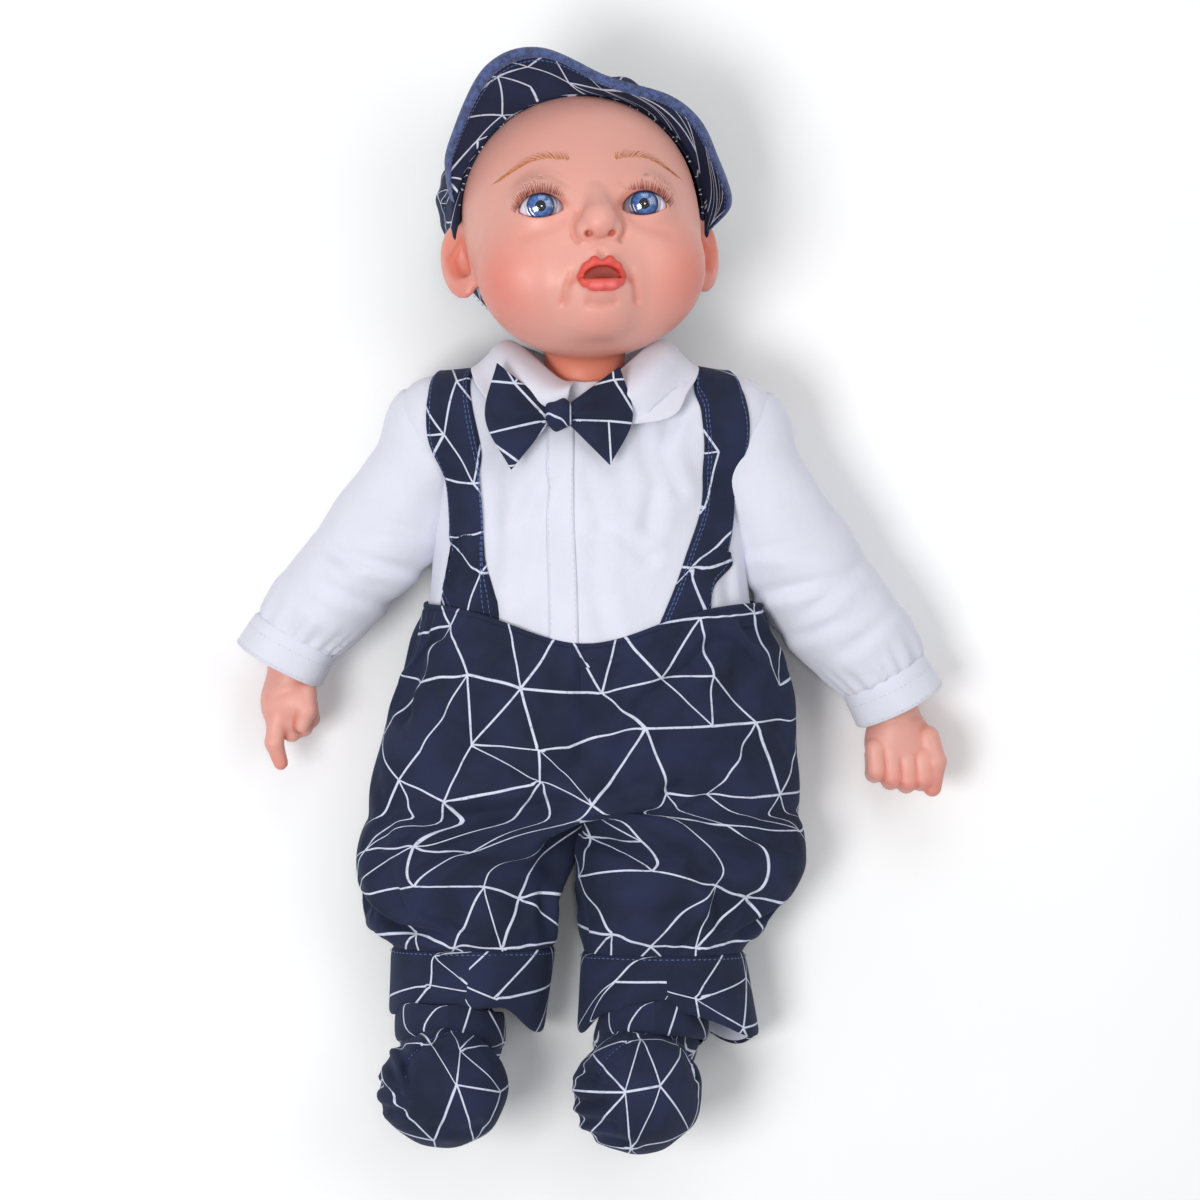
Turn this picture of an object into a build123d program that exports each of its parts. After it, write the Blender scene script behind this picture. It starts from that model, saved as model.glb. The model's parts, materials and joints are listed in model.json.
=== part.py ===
"""A soft-bodied talking baby doll in a shirt, trousers with braces, bow tie, booties and a flat cap.

It lies on its back: +Z is the doll's front, +Y points to its head and +X to its left.
The origin is on the floor under its waist. Lengths are millimetres.
Every moving joint is a body of revolution in a matching socket, so that it turns without touching.
"""

import os
from math import acos, asin, cos, pi, sin, sqrt

from build123d import *

os.makedirs("parts", exist_ok=True)

# Cloth and fits
CLOTH = 1.3  # thickness of shirt and trouser cloth
AIR = 0.5  # gap between two layers of one body
JOINT_GAP = 0.5  # gap round a part that turns
VINYL = 2.4  # wall of the vinyl head

# Torso: the outside of the shirt, as (y, x, z, half width, half height)
SHIRT = [
    (-38, 2, 36, 65, 33.5),
    (-16, 2, 36, 66, 34),
    (5, 2, 36, 64, 34),
    (25, 1.5, 36, 60, 34),
    (40, 1, 36.5, 57.5, 33.5),
    (55, 1, 37, 56.5, 32.5),
    (70, 0.5, 38, 57, 31),
    (82, 0, 40, 56, 27.5),
    (91, 0, 43, 48, 22.5),
    (97, 0, 46, 32, 17),
]
WAIST_Y = -16  # the shirt is tucked in as far as this
SEAT = [(-38, 2, 37, 86, 37.8), (-16, 2, 37, 79, 37.8), (4, 2, 37, 73, 37.8)]
BAND = [(4.2, 2, 37, 73, 37.8), (12, 2, 37, 69.5, 37.8)]

# Hips
HIP_Y, HIP_Z = -52, 34
HIP_R = 33
# Trouser legs below the hip, as (y, x, z, half width, half height)
RIGHT_LEG = [(-52, -44, 34, 41, 32), (-100, -53, 30, 40, 29), (-135, -54, 26, 34, 25.5)]
LEFT_LEG = [(-52, 44, 34, 41, 32), (-100, 43, 30, 44, 29), (-135, 35, 26, 36, 25.5)]
RIGHT_HEM = [(-136, -54, 25.5, 34, 25), (-160, -53, 24.5, 32, 24)]
LEFT_HEM = [(-136, 35, 25.5, 36, 25), (-160, 34, 24.5, 36, 24)]
RIGHT_HIP, RIGHT_ANKLE = (-42, HIP_Y, HIP_Z), (-57, -166, 26)
LEFT_HIP, LEFT_ANKLE = (40, HIP_Y, HIP_Z), (27, -166, 26)
KNEE_SHARE = 0.52  # how far down the leg the cloth thigh ends
THIGH_R, KNEE_R = 26, 20
SHANK_R, ANKLE_R = 15, 13.5
FOOT_HEEL = (0, -11, -5)  # heel and toe centres, from the ankle
FOOT_TOE = (0, -31, 31)
HEEL_R, TOE_R = 18, 23
BOOTIE = 2.2  # padded cloth of a bootie

# Shoulders and arms
RIGHT_SHOULDER, RIGHT_WRIST = (-64, 80, 36), (-125, -22, 24)
LEFT_SHOULDER, LEFT_WRIST = (66, 79, 36), (130, -38, 24)
SHOULDER_R = 20
SLEEVE_R, SLEEVE_WIDE_R, SLEEVE_END_R = 22.5, 26, 21
CUFF_LENGTH = 15
ARM_R, WRIST_R = 17, 14
FLANGE_R, STEM_R = 10, 8  # the vinyl hand's flange and stem, tied inside the cloth arm

# Neck and head
NECK_PIVOT = (0, 90, 50)
NECK_BALL_R, NECK_R = 19, 14.5
NECK_GROOVE_R = 12.5
HEAD_CENTRE = (-1, 157.5, 60)
HEAD_PITCH, HEAD_YAW, HEAD_ROLL = 14, 7.5, 2.2
# Head lumps in its own frame, as (x, up, forward, radius)
SKULL = (0, 14, -4, 48)
FACE = (0, -8, 10, 44)
JAW = (0, -20, 8, 38)
CHIN = (0, -41, 33, 12)
CHEEK = (25, -25, 25, 20)
NOSE = ((0, -4, 52), 4, (0, -15, 57), 6.5)
EAR_TOP, EAR_LOBE = (50, 3, -5), (47, -20, -3)
EYE = (21, 1, 38)
EYE_R, CORNEA_R, CORNEA_OUT = 11.3, 7.2, 5.2
CAP_EDGE_FRONT = (0, 57, 20)
CAP_TILT = 63  # the cap's edge plane leans back by this much from the face's horizontal
BAND_WIDTH = 9
BILL_OUT, BILL_FLARE = 16, 14

# Sound module, in a pocket of the filling
MODULE_CENTRE = (2, 26)
MODULE_BASE_Z, MODULE_SPLIT_Z, MODULE_TOP_Z = 13, 29, 41
MODULE_R, MODULE_WALL = 29, 1.8
SPEAKER_DX, SPEAKER_R = -10, 14
BUTTON_DX, BUTTON_R, BUTTON_PROUD = 16, 7.5, 2.4
SWITCH_DY, SWITCH_TRAVEL = -18, 3
CELL_R, CELL_HEIGHT = 5.8, 5.4
SCREW_RING_R = 24.5


def save(name, shape):
    export_step(shape, f"parts/{name}.step")


def group(shapes):
    """Separate solids kept as one node."""
    return Compound(children=list(shapes))


def ball(centre, radius):
    return Pos(*centre) * Sphere(radius)


def along(start, end):
    """A plane at start whose normal points to end."""
    return Plane(origin=start, z_dir=Vector(*end) - Vector(*start))


def between(start, end, share):
    return tuple(a + (b - a) * share for a, b in zip(start, end))


def moved(point, shift):
    return tuple(a + b for a, b in zip(point, shift))


def capsule(start, start_r, end, end_r):
    """Two balls joined by the cone that touches both."""
    length = (Vector(*end) - Vector(*start)).length
    touch = acos(-(start_r - end_r) / length)

    def on_start(angle):
        return (start_r * sin(angle), -start_r * cos(angle))

    def on_end(angle):
        return (end_r * sin(angle), length - end_r * cos(angle))

    middle = (touch + pi) / 2
    outline = [
        ThreePointArc(on_start(0), on_start(touch / 2), on_start(touch)),
        Line(on_start(touch), on_end(touch)),
        ThreePointArc(on_end(touch), on_end(middle), (0, length + end_r)),
        Line((0, length + end_r), (0, -start_r)),
    ]
    solid = revolve(Plane.XZ * make_face(outline), Axis.Z)
    return along(start, end) * solid


def turned(points, plane=Plane.XY):
    """A closed outline of (radius, height) points turned about the plane's normal."""
    face = Plane.XZ * make_face(Polyline(*points, close=True))
    return plane * revolve(face, Axis.Z)


def tube(sections, grow=0.0):
    """A solid through ellipses across the Y axis."""
    faces = []
    for y, x, z, half_width, half_height in sections:
        plane = Plane(origin=(x, y, z), x_dir=(1, 0, 0), z_dir=(0, 1, 0))
        faces.append(plane * Ellipse(half_width + grow, half_height + grow))
    return loft(faces, ruled=True)


def slab(low, high):
    """A box between two corners."""
    size = [b - a for a, b in zip(low, high)]
    middle = [(a + b) / 2 for a, b in zip(low, high)]
    return Pos(*middle) * Box(*size)


def front_strip(points, low_z=-20, high_z=120):
    """Everything above and below an outline in the XY plane."""
    face = make_face(Polyline(*points, close=True))
    return extrude(Plane(origin=(0, 0, low_z)) * face, high_z - low_z)


# Room that moving parts need

def arm_room(shoulder, wrist, gap):
    """What a sleeve sweeps as the arm comes up: its inner side turned about the X axis."""
    arm = Vector(*wrist) - Vector(*shoulder)
    outward = abs(arm.X) / arm.length
    down = sqrt(1 - outward**2)
    widest_at = 0.62 * (arm.length - CUFF_LENGTH)

    def side_point(at, radius):
        return (at * down + radius * outward, at * outward - radius * down)

    reach = SLEEVE_R + gap
    wide = SLEEVE_WIDE_R + 1.5 * gap
    half = asin(outward) / 2
    start, far = side_point(0, reach), side_point(widest_at + 8, wide)
    outline = [
        ThreePointArc((0, -reach), (reach * sin(half), -reach * cos(half)), start),
        Line(start, far),
        Line(far, (far[0], 75)),
        Line((far[0], 75), (0, 75)),
        Line((0, 75), (0, -reach)),
    ]
    plane = Plane(origin=shoulder, z_dir=(1 if arm.X > 0 else -1, 0, 0))
    return plane * revolve(Plane.XZ * make_face(outline), Axis.Z)


def neck_room(gap):
    return ball(NECK_PIVOT, NECK_BALL_R + 2.2 + gap)


def hip_room(gap):
    half_width = 95
    plane = Plane(origin=(-half_width, HIP_Y, HIP_Z), z_dir=(1, 0, 0))
    return plane * Cylinder(
        HIP_R + gap, 2 * half_width, align=(Align.CENTER, Align.CENTER, Align.MIN)
    )


def lap_room(gap):
    """Where the front of a raised leg comes to."""
    return slab((-200, -200, HIP_Z), (200, HIP_Y + HIP_R + gap, 200))


def joint_room(gap=JOINT_GAP):
    """All that the torso's parts are cut by."""
    return [
        arm_room(RIGHT_SHOULDER, RIGHT_WRIST, gap),
        arm_room(LEFT_SHOULDER, LEFT_WRIST, gap),
        neck_room(gap),
        hip_room(gap),
        lap_room(gap),
    ]


def cut(shape, tools):
    for tool in tools:
        shape = shape - tool
    return shape


# Torso

def module_pocket():
    x, y = MODULE_CENTRE
    height = MODULE_TOP_Z - MODULE_BASE_Z + 2 * AIR
    pocket = Pos(x, y, MODULE_BASE_Z - AIR - 1) * Cylinder(
        MODULE_R + AIR, height + 1, align=(Align.CENTER, Align.CENTER, Align.MIN)
    )
    above = Pos(x + BUTTON_DX, y, MODULE_TOP_Z) * Cylinder(
        BUTTON_R + 1, BUTTON_PROUD + 1, align=(Align.CENTER, Align.CENTER, Align.MIN)
    )
    return pocket + above


def make_torso(rooms):
    skin_out = CLOTH + AIR
    skin = tube(SHIRT, -skin_out) - tube(SHIRT, -skin_out - CLOTH)
    save("torso_skin", cut(skin, rooms))
    filling = tube(SHIRT, -skin_out - CLOTH - AIR)
    save("torso_filling", cut(filling, rooms) - module_pocket())


def make_shirt(rooms):
    tucked = slab((-200, WAIST_Y, -200), (200, 200, 200))
    shell = (tube(SHIRT) - tube(SHIRT, -CLOTH)) & tucked
    save("shirt_body", cut(shell, rooms))
    layer = tube(SHIRT, 0.3 + CLOTH) - tube(SHIRT, 0.3)
    front = slab((-200, -200, 40), (200, 200, 200))
    back = slab((-200, -200, -200), (200, 200, 30))
    placket = front_strip([(-11, 14), (-1, 14), (-5, 64), (-14, 64)])
    save("shirt_placket", layer & placket & front)
    fastener = front_strip([(-8, 14), (8, 14), (8, 60), (-8, 60)])
    save("back_fastener", layer & fastener & back)


def make_collar():
    """A stand round the neck and two leaves that lie on the shirt."""
    x, y, z = NECK_PIVOT
    inner, outer = 23.2, 24.8
    stand = turned(
        [(inner, 7.3), (outer, 7.3), (outer, 9), (inner, 9)],
        Plane(origin=(x, y, z), z_dir=(0, 1, 0)),
    )
    leaf_z, leaf_top = 69.6, 70.9
    collar = stand & slab((-40, 0, 20), (40, 200, leaf_top))
    leaf = [(12, 94), (12, 98.8), (24, 98.8), (42, 92), (37, 68), (20, 84)]
    for side in (-1, 1):
        collar += front_strip([(side * px, py) for px, py in leaf], leaf_z, leaf_top)
    save("shirt_collar", collar)


def make_bow_tie():
    low_z, high_z = 71.8, 79
    left = [(-5, 90), (16, 99.4), (20, 84), (10, 63), (-5, 78)]
    right = [(-17, 90), (-36, 105.5), (-40, 84), (-28, 62), (-17, 78)]
    wings = [fillet(front_strip(p, low_z, high_z).edges(), 1.6) for p in (left, right)]
    save("bow_tie_bow", group(wings))
    knot = slab((-16.6, 77, low_z), (-5.4, 92, high_z + 2.5))
    save("bow_tie_knot", fillet(knot.edges(), 2.2))


def make_braces():
    """Each strap goes up the front and down the back, and is sewn in at the shoulder."""
    layer = tube(SHIRT, 0.5 + CLOTH) - tube(SHIRT, 0.5)
    outlines = {
        "right_suspender": [(-52, 12.5), (-33, 12.5), (-28, 96), (-40, 96)],
        "left_suspender": [(33, 12.5), (52, 12.5), (40, 96), (28, 96)],
    }
    rooms = joint_room(JOINT_GAP + 0.4)
    for name, outline in outlines.items():
        save(name, cut(layer & front_strip(outline), rooms[:3]))


def make_seat(rooms):
    shell = tube(SEAT) - tube(SEAT, -CLOTH - 0.4)
    floor = slab((-200, -200, -50), (200, 200, 0))
    save("trouser_seat", cut(shell, rooms[3:] + [floor]))
    waistband = tube(BAND) - tube(BAND, -CLOTH - 0.4)
    save("trouser_waistband", waistband - floor)


# Sound module

def disc(dx, dy, low_z, high_z, radius):
    x, y = MODULE_CENTRE
    return Pos(x + dx, y + dy, low_z) * Cylinder(
        radius, high_z - low_z, align=(Align.CENTER, Align.CENTER, Align.MIN)
    )


def ring(dx, dy, low_z, high_z, outer, inner):
    return disc(dx, dy, low_z, high_z, outer) - disc(dx, dy, low_z, high_z, inner)


def screw_places():
    places = []
    for quarter in range(4):
        angle = pi / 4 + quarter * pi / 2
        places.append((SCREW_RING_R * cos(angle), SCREW_RING_R * sin(angle)))
    return places


def battery_bay():
    """Three cells lie side by side over the door."""
    return slab(box_low(-20, -2), box_high(20, 11))


def box_low(dx, dy):
    return (MODULE_CENTRE[0] + dx, MODULE_CENTRE[1] + dy, MODULE_BASE_Z)


def box_high(dx, dy):
    return (MODULE_CENTRE[0] + dx, MODULE_CENTRE[1] + dy, MODULE_BASE_Z + MODULE_WALL)


def make_module_cases():
    floor_top = MODULE_BASE_Z + MODULE_WALL
    back = disc(0, 0, MODULE_BASE_Z, MODULE_SPLIT_Z, MODULE_R)
    back -= disc(0, 0, floor_top, MODULE_SPLIT_Z, MODULE_R - MODULE_WALL)
    back -= battery_bay()
    x, y = MODULE_CENTRE
    slot_low = (x - 5 - SWITCH_TRAVEL / 2, y + SWITCH_DY - 2, MODULE_BASE_Z)
    slot_high = (x + 5 + SWITCH_TRAVEL / 2, y + SWITCH_DY + 2, floor_top)
    back -= slab(slot_low, slot_high)
    for dx, dy in screw_places():
        back += disc(dx, dy, floor_top, MODULE_SPLIT_Z, 2.6)
        back -= disc(dx, dy, MODULE_BASE_Z, MODULE_SPLIT_Z, 1.3)
    save("module_back_case", back)

    ceiling = MODULE_TOP_Z - MODULE_WALL
    front = disc(0, 0, MODULE_SPLIT_Z + 0.1, MODULE_TOP_Z, MODULE_R)
    front -= disc(0, 0, MODULE_SPLIT_Z + 0.1, ceiling, MODULE_R - MODULE_WALL)
    front -= disc(BUTTON_DX, 0, ceiling, MODULE_TOP_Z, BUTTON_R + 0.4)
    for row in range(-2, 3):
        for column in range(-2, 3):
            if abs(row) + abs(column) < 4:
                hole = disc(SPEAKER_DX + 4 * column, 4 * row, ceiling, MODULE_TOP_Z, 1)
                front -= hole
    for dx, dy in screw_places():
        front += disc(dx, dy, MODULE_SPLIT_Z + 0.1, ceiling, 2.6)
        front -= disc(dx, dy, MODULE_SPLIT_Z + 0.1, MODULE_SPLIT_Z + 7, 0.9)
    save("module_front_case", front)
    return ceiling


def make_module_inside(ceiling):
    frame = ring(SPEAKER_DX, 0, ceiling - 3, ceiling, SPEAKER_R, SPEAKER_R - 2)
    basket = ring(SPEAKER_DX, 0, ceiling - 5, ceiling - 3, SPEAKER_R, 4)
    magnet = disc(SPEAKER_DX, 0, ceiling - 8, ceiling - 5, 6)
    save("speaker_frame", frame + basket + magnet)
    cone = turned(
        [(2, -2.6), (SPEAKER_R - 2.4, -0.9), (SPEAKER_R - 2.4, -0.4), (0, -2.1), (0, -2.6)],
        Plane(origin=(MODULE_CENTRE[0] + SPEAKER_DX, MODULE_CENTRE[1], ceiling)),
    )
    save("speaker_cone", cone)

    board_z = MODULE_SPLIT_Z - 4
    board = disc(0, 0, board_z, board_z + 1.2, 20)
    board += disc(BUTTON_DX, 0, board_z + 1.2, board_z + 4, 3)
    board += slab(
        moved(box_low(-6, -12), (0, 0, board_z + 1.2 - MODULE_BASE_Z)),
        moved(box_high(4, -5), (0, 0, board_z + 1.4 - MODULE_BASE_Z)),
    )
    save("circuit_board", board)

    low = MODULE_BASE_Z + MODULE_WALL + 0.9
    cells = [disc(dx, 4.5, low, low + CELL_HEIGHT, CELL_R) for dx in (-12.6, 0, 12.6)]
    save("button_cells", group(cells))
    over = low + CELL_HEIGHT + 0.1
    contacts = [ring(dx, 4.5, over, over + 0.4, 4, 1.5) for dx in (-12.6, 0, 12.6)]
    save("battery_contacts", group(contacts))
    door = slab(
        moved(box_low(-20, -2), (0.3, 0.3, 0)), moved(box_high(20, 11), (-0.3, -0.3, 0))
    )
    save("battery_door", door)

    screws = []
    for dx, dy in screw_places():
        shank = disc(dx, dy, MODULE_BASE_Z - 0.8, MODULE_SPLIT_Z + 6, 0.85)
        head = disc(dx, dy, MODULE_BASE_Z - 0.9, MODULE_BASE_Z - 0.05, 2.2)
        screws.append(head + shank)
    save("case_screws", group(screws))


def make_button_and_switch(ceiling):
    """The press button stands on a rubber dome, and the switch slides in its slot."""
    top = MODULE_TOP_Z + BUTTON_PROUD
    stem_foot = MODULE_SPLIT_Z + 3.2
    button = disc(BUTTON_DX, 0, ceiling - 2, top, BUTTON_R)
    button += disc(BUTTON_DX, 0, stem_foot, ceiling - 2, 2.4)
    save("tummy_button", button)
    foot = MODULE_SPLIT_Z - 2.7
    plane = Plane(origin=(MODULE_CENTRE[0] + BUTTON_DX, MODULE_CENTRE[1], foot))
    dome = [(4.6, 0), (5.4, 0), (4.2, 4.6), (2.9, 5.6), (2.9, 5.0), (3.6, 4.3)]
    save("button_dome", turned(dome, plane))

    x, y = MODULE_CENTRE
    plate = slab(
        (x - 7, y + SWITCH_DY - 3.4, MODULE_BASE_Z + MODULE_WALL + 0.2),
        (x + 4, y + SWITCH_DY + 3.4, MODULE_BASE_Z + MODULE_WALL + 2),
    )
    knob = slab(
        (x - 6, y + SWITCH_DY - 1.6, MODULE_BASE_Z - 0.2),
        (x + 3, y + SWITCH_DY + 1.6, MODULE_BASE_Z + MODULE_WALL + 1),
    )
    save("power_switch", plate + knob)


# Neck and head

def make_neck():
    """The cloth neck, tied into the head's groove, tilts as a ball in the torso."""
    along_y = Plane(origin=NECK_PIVOT, z_dir=(0, 1, 0))
    casing = ball(NECK_PIVOT, NECK_BALL_R)
    casing -= turned([(17.2, 4), (40, 4), (40, 40), (17.2, 40)], along_y)
    casing -= turned([(0, 8), (40, 8), (40, 40), (0, 40)], along_y)
    bore = NECK_R + 0.3
    lip = NECK_GROOVE_R + 0.3
    casing -= turned(
        [(0, -9.4), (bore, -9.4), (bore, 4.8), (lip, 4.8), (lip, 6.2), (bore, 6.2), (bore, 20), (0, 20)],
        along_y,
    )
    save("neck_casing", casing)
    tie = along_y * Pos(0, 0, 5.6) * Torus(18.5, 1.1)
    save("neck_cable_tie", tie)


def head_frame():
    turn = Rot(Z=HEAD_ROLL) * Rot(Y=HEAD_YAW) * Rot(X=-HEAD_PITCH)
    return Pos(*HEAD_CENTRE) * turn


def lump(values, shrink=0.0):
    x, up, forward, radius = values
    return ball((x, up, forward), radius - shrink)


def mirrored(values):
    return (-values[0], *values[1:])


def eye_centres():
    return {"left": EYE, "right": mirrored(EYE)}


def cornea_centre(centre):
    return moved(centre, (0, 0, CORNEA_OUT))


def make_head_shell():
    outer = lump(SKULL) + lump(FACE) + lump(JAW) + lump(CHIN)
    outer += lump(CHEEK) + lump(mirrored(CHEEK)) + capsule(*NOSE)
    outer += capsule(EAR_TOP, 6, EAR_LOBE, 4)
    outer += capsule(mirrored(EAR_TOP), 6, mirrored(EAR_LOBE), 4)
    hollow = lump(SKULL, VINYL) + lump(FACE, VINYL) + lump(JAW, VINYL)
    sockets = [ball(c, EYE_R + 0.2) for c in eye_centres().values()]
    neck = turned(
        [
            (0, -9),
            (NECK_R, -9),
            (NECK_R, 4.4),
            (NECK_GROOVE_R, 4.4),
            (NECK_GROOVE_R, 6.6),
            (NECK_R, 6.6),
            (NECK_R, 28),
            (0, 28),
        ],
        Plane(origin=NECK_PIVOT, z_dir=(0, 1, 0)),
    )
    bore = turned(
        [(0, -10), (NECK_GROOVE_R - 2, -10), (NECK_GROOVE_R - 2, 36), (0, 36)],
        Plane(origin=NECK_PIVOT, z_dir=(0, 1, 0)),
    )
    shell = (head_frame() * outer + neck) - head_frame() * hollow - bore
    sockets += [ball(cornea_centre(c), CORNEA_R + 0.3) for c in eye_centres().values()]
    for socket in sockets:
        shell -= head_frame() * socket
    save("head_shell", shell)


def make_eyes():
    cups = []
    for side, centre in eye_centres().items():
        eye = ball(centre, EYE_R)
        save(f"{side}_eye", head_frame() * eye)
        dome = ball(cornea_centre(centre), CORNEA_R) - ball(centre, EYE_R + 0.05)
        save(f"{side}_cornea", head_frame() * dome)
        cup = ball(centre, EYE_R + 1.7) - ball(centre, EYE_R + 0.3)
        cup &= slab((-100, -100, -100), (100, 100, centre[2] - 7))
        cups.append(head_frame() * cup)
    save("eye_cups", group(cups))


def cap_plane():
    """The plane of the cap's edge, its normal towards the face."""
    tilt = CAP_TILT * pi / 180
    return Plane(
        origin=CAP_EDGE_FRONT, x_dir=(1, 0, 0), z_dir=(0, -cos(tilt), sin(tilt))
    )


def make_cap():
    puff_ends = ((-9, 22, -6), (9, 22, -6))
    skull = lump(SKULL, -1.0)
    outer = lump(SKULL, -2.6) + capsule(puff_ends[0], 45, puff_ends[1], 45)
    inner = skull + capsule(puff_ends[0], 43.4, puff_ends[1], 43.4)
    far = 200
    half_space = Box(far, far, far, align=(Align.CENTER, Align.CENTER, Align.MAX))
    behind_band = cap_plane() * Pos(0, 0, -BAND_WIDTH - 0.2) * half_space
    behind_edge = cap_plane() * half_space
    ring_shell = lump(SKULL, -2.6) - skull
    ear_room = [capsule(p, 8, q, 6) for p, q in ear_lines()]
    crown = cut((outer - inner) & behind_band, ear_room)
    band = cut((ring_shell & behind_edge) - behind_band, ear_room)
    band -= cap_plane() * Pos(0, 0, -BAND_WIDTH) * half_space
    band = cut(band, [lump(FACE, -0.6), lump(CHEEK, -0.6), lump(mirrored(CHEEK), -0.6)])
    save("cap_crown", head_frame() * crown)
    save("cap_band", head_frame() * band)
    edge_r = SKULL[3] + 3.1
    centre = Vector(*SKULL[:3])
    plane = Plane(origin=centre, x_dir=(1, 0, 0), z_dir=cap_plane().z_dir)
    flare = turned(
        [
            (edge_r, 0),
            (edge_r + 20, BILL_FLARE),
            (edge_r + 20, BILL_FLARE + 2.6),
            (edge_r, 2.6),
        ],
        plane,
    )
    crescent = plane * Pos(0, BILL_OUT, 0) * Cylinder(edge_r, 60)
    bill = (flare & crescent) & (plane * slab((-45, 5, -50), (45, 100, 50)))
    save("cap_bill", head_frame() * bill)


def ear_lines():
    return [(EAR_TOP, EAR_LOBE), (mirrored(EAR_TOP), mirrored(EAR_LOBE))]


# Arms

def make_arm(side, shoulder, wrist, make_hand):
    plane = along(shoulder, wrist)
    length = (Vector(*wrist) - Vector(*shoulder)).length
    end = length - CUFF_LENGTH
    save(f"{side}_arm_cap", ball(shoulder, SHOULDER_R))

    inner_r = SHOULDER_R + 0.9
    sleeve_out = turned(
        [(0, 0), (SLEEVE_R, 0), (SLEEVE_WIDE_R, 0.62 * end), (SLEEVE_END_R, end), (0, end)],
        plane,
    )
    sleeve_in = turned(
        [
            (0, 0),
            (inner_r, 0),
            (SLEEVE_WIDE_R - CLOTH, 0.62 * end),
            (SLEEVE_END_R - CLOTH, end),
            (0, end),
        ],
        plane,
    )
    open_end = plane * Pos(0, 0, -8) * Box(
        100, 100, 100, align=(Align.CENTER, Align.CENTER, Align.MIN)
    )
    sleeve = (sleeve_out + (ball(shoulder, SLEEVE_R) & open_end)) - sleeve_in
    sleeve -= ball(shoulder, inner_r)
    save(f"{side}_sleeve", sleeve)

    cuff = turned(
        [
            (SLEEVE_END_R - 2.4, end + 0.3),
            (SLEEVE_END_R - 0.6, end + 0.3),
            (SLEEVE_END_R - 0.6, length),
            (SLEEVE_END_R - 2.4, length),
        ],
        plane,
    )
    save(f"{side}_cuff", cuff)

    arm_end = end - 10
    tie_at = arm_end - 5
    socket_r, bore_r = FLANGE_R + 0.4, STEM_R + 0.3
    arm = turned(
        [
            (0, 8),
            (ARM_R, 8),
            (WRIST_R, tie_at - 2.4),
            (WRIST_R - 2, tie_at - 1.4),
            (WRIST_R - 2, tie_at + 1.4),
            (WRIST_R, tie_at + 2.4),
            (WRIST_R, arm_end),
            (bore_r, arm_end),
            (bore_r, arm_end - 8),
            (socket_r, arm_end - 8),
            (socket_r, arm_end - 14),
            (0, arm_end - 14),
        ],
        plane,
    )
    save(f"{side}_upper_arm", arm - ball(shoulder, SHOULDER_R + 0.4))
    tie = plane * Pos(0, 0, tie_at) * Torus(WRIST_R - 0.7, 1.1)
    save(f"{side}_arm_tie", tie)

    forearm = turned(
        [
            (0, arm_end - 13.6),
            (FLANGE_R, arm_end - 13.6),
            (FLANGE_R, arm_end - 8.4),
            (STEM_R, arm_end - 8.4),
            (STEM_R, arm_end + 0.6),
            (WRIST_R - 2, arm_end + 3),
            (WRIST_R - 3, length + 2),
            (0, length + 2),
        ],
        plane,
    )
    save(f"{side}_hand", make_hand(forearm, wrist))


def pointing_hand(forearm, wrist):
    """Fist with the index finger out, bent towards the feet."""
    palm = moved(wrist, (-1, -8, 0))
    hand = forearm + capsule(palm, 10.5, moved(palm, (-1, -12, -2)), 9.5)
    knuckle = moved(palm, (-6, -18, 2))
    joint = moved(knuckle, (-1, -9, 0))
    hand += capsule(knuckle, 4.8, joint, 4.2)
    hand += capsule(joint, 4.2, moved(joint, (4, -9, -1)), 3.2)
    for finger in range(3):
        base = moved(palm, (0 + 4.2 * finger, -18 + 1.5 * finger, -1))
        hand += capsule(base, 4.6, moved(base, (2, 3, -7)), 4.2)
    return hand + capsule(moved(palm, (6, -8, 6)), 4.4, moved(palm, (6, -17, 6)), 3.8)


def fist_hand(forearm, wrist):
    """Closed fist with the thumb along its outer side."""
    palm = moved(wrist, (3, -10, 0))
    hand = forearm + capsule(palm, 12, moved(palm, (1, -9, -1)), 11)
    for finger in range(4):
        base = moved(palm, (-9 + 6.2 * finger, -17 - 0.8 * finger, 2))
        hand += capsule(base, 5, moved(base, (0, 1, -8)), 4.6)
    thumb = moved(palm, (13, -6, 3))
    return hand + capsule(thumb, 5.6, moved(thumb, (1, -15, 2)), 5)


# Legs

def make_trouser_leg(side, leg, hem, inside):
    outer_end, inner_end = inside
    plane = Plane(origin=(inner_end, HIP_Y, HIP_Z), z_dir=(outer_end - inner_end, 0, 0))
    width = abs(outer_end - inner_end)

    def outside(shrink, beyond):
        roll = Pos(0, 0, width / 2) * Cylinder(HIP_R - shrink, width - 2 * shrink)
        roll = plane * fillet(roll.edges().filter_by(GeomType.CIRCLE), 10 - shrink)
        last = leg[-1]
        return roll + tube([*leg[:-1], (last[0] - beyond, *last[1:])], -shrink)

    save(f"{side}_trouser_leg", outside(0, 0) - outside(CLOTH + 0.3, 3))
    hem_band = tube(hem) - tube(hem, -CLOTH - 0.5)
    save(f"{side}_trouser_hem", hem_band)


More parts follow.
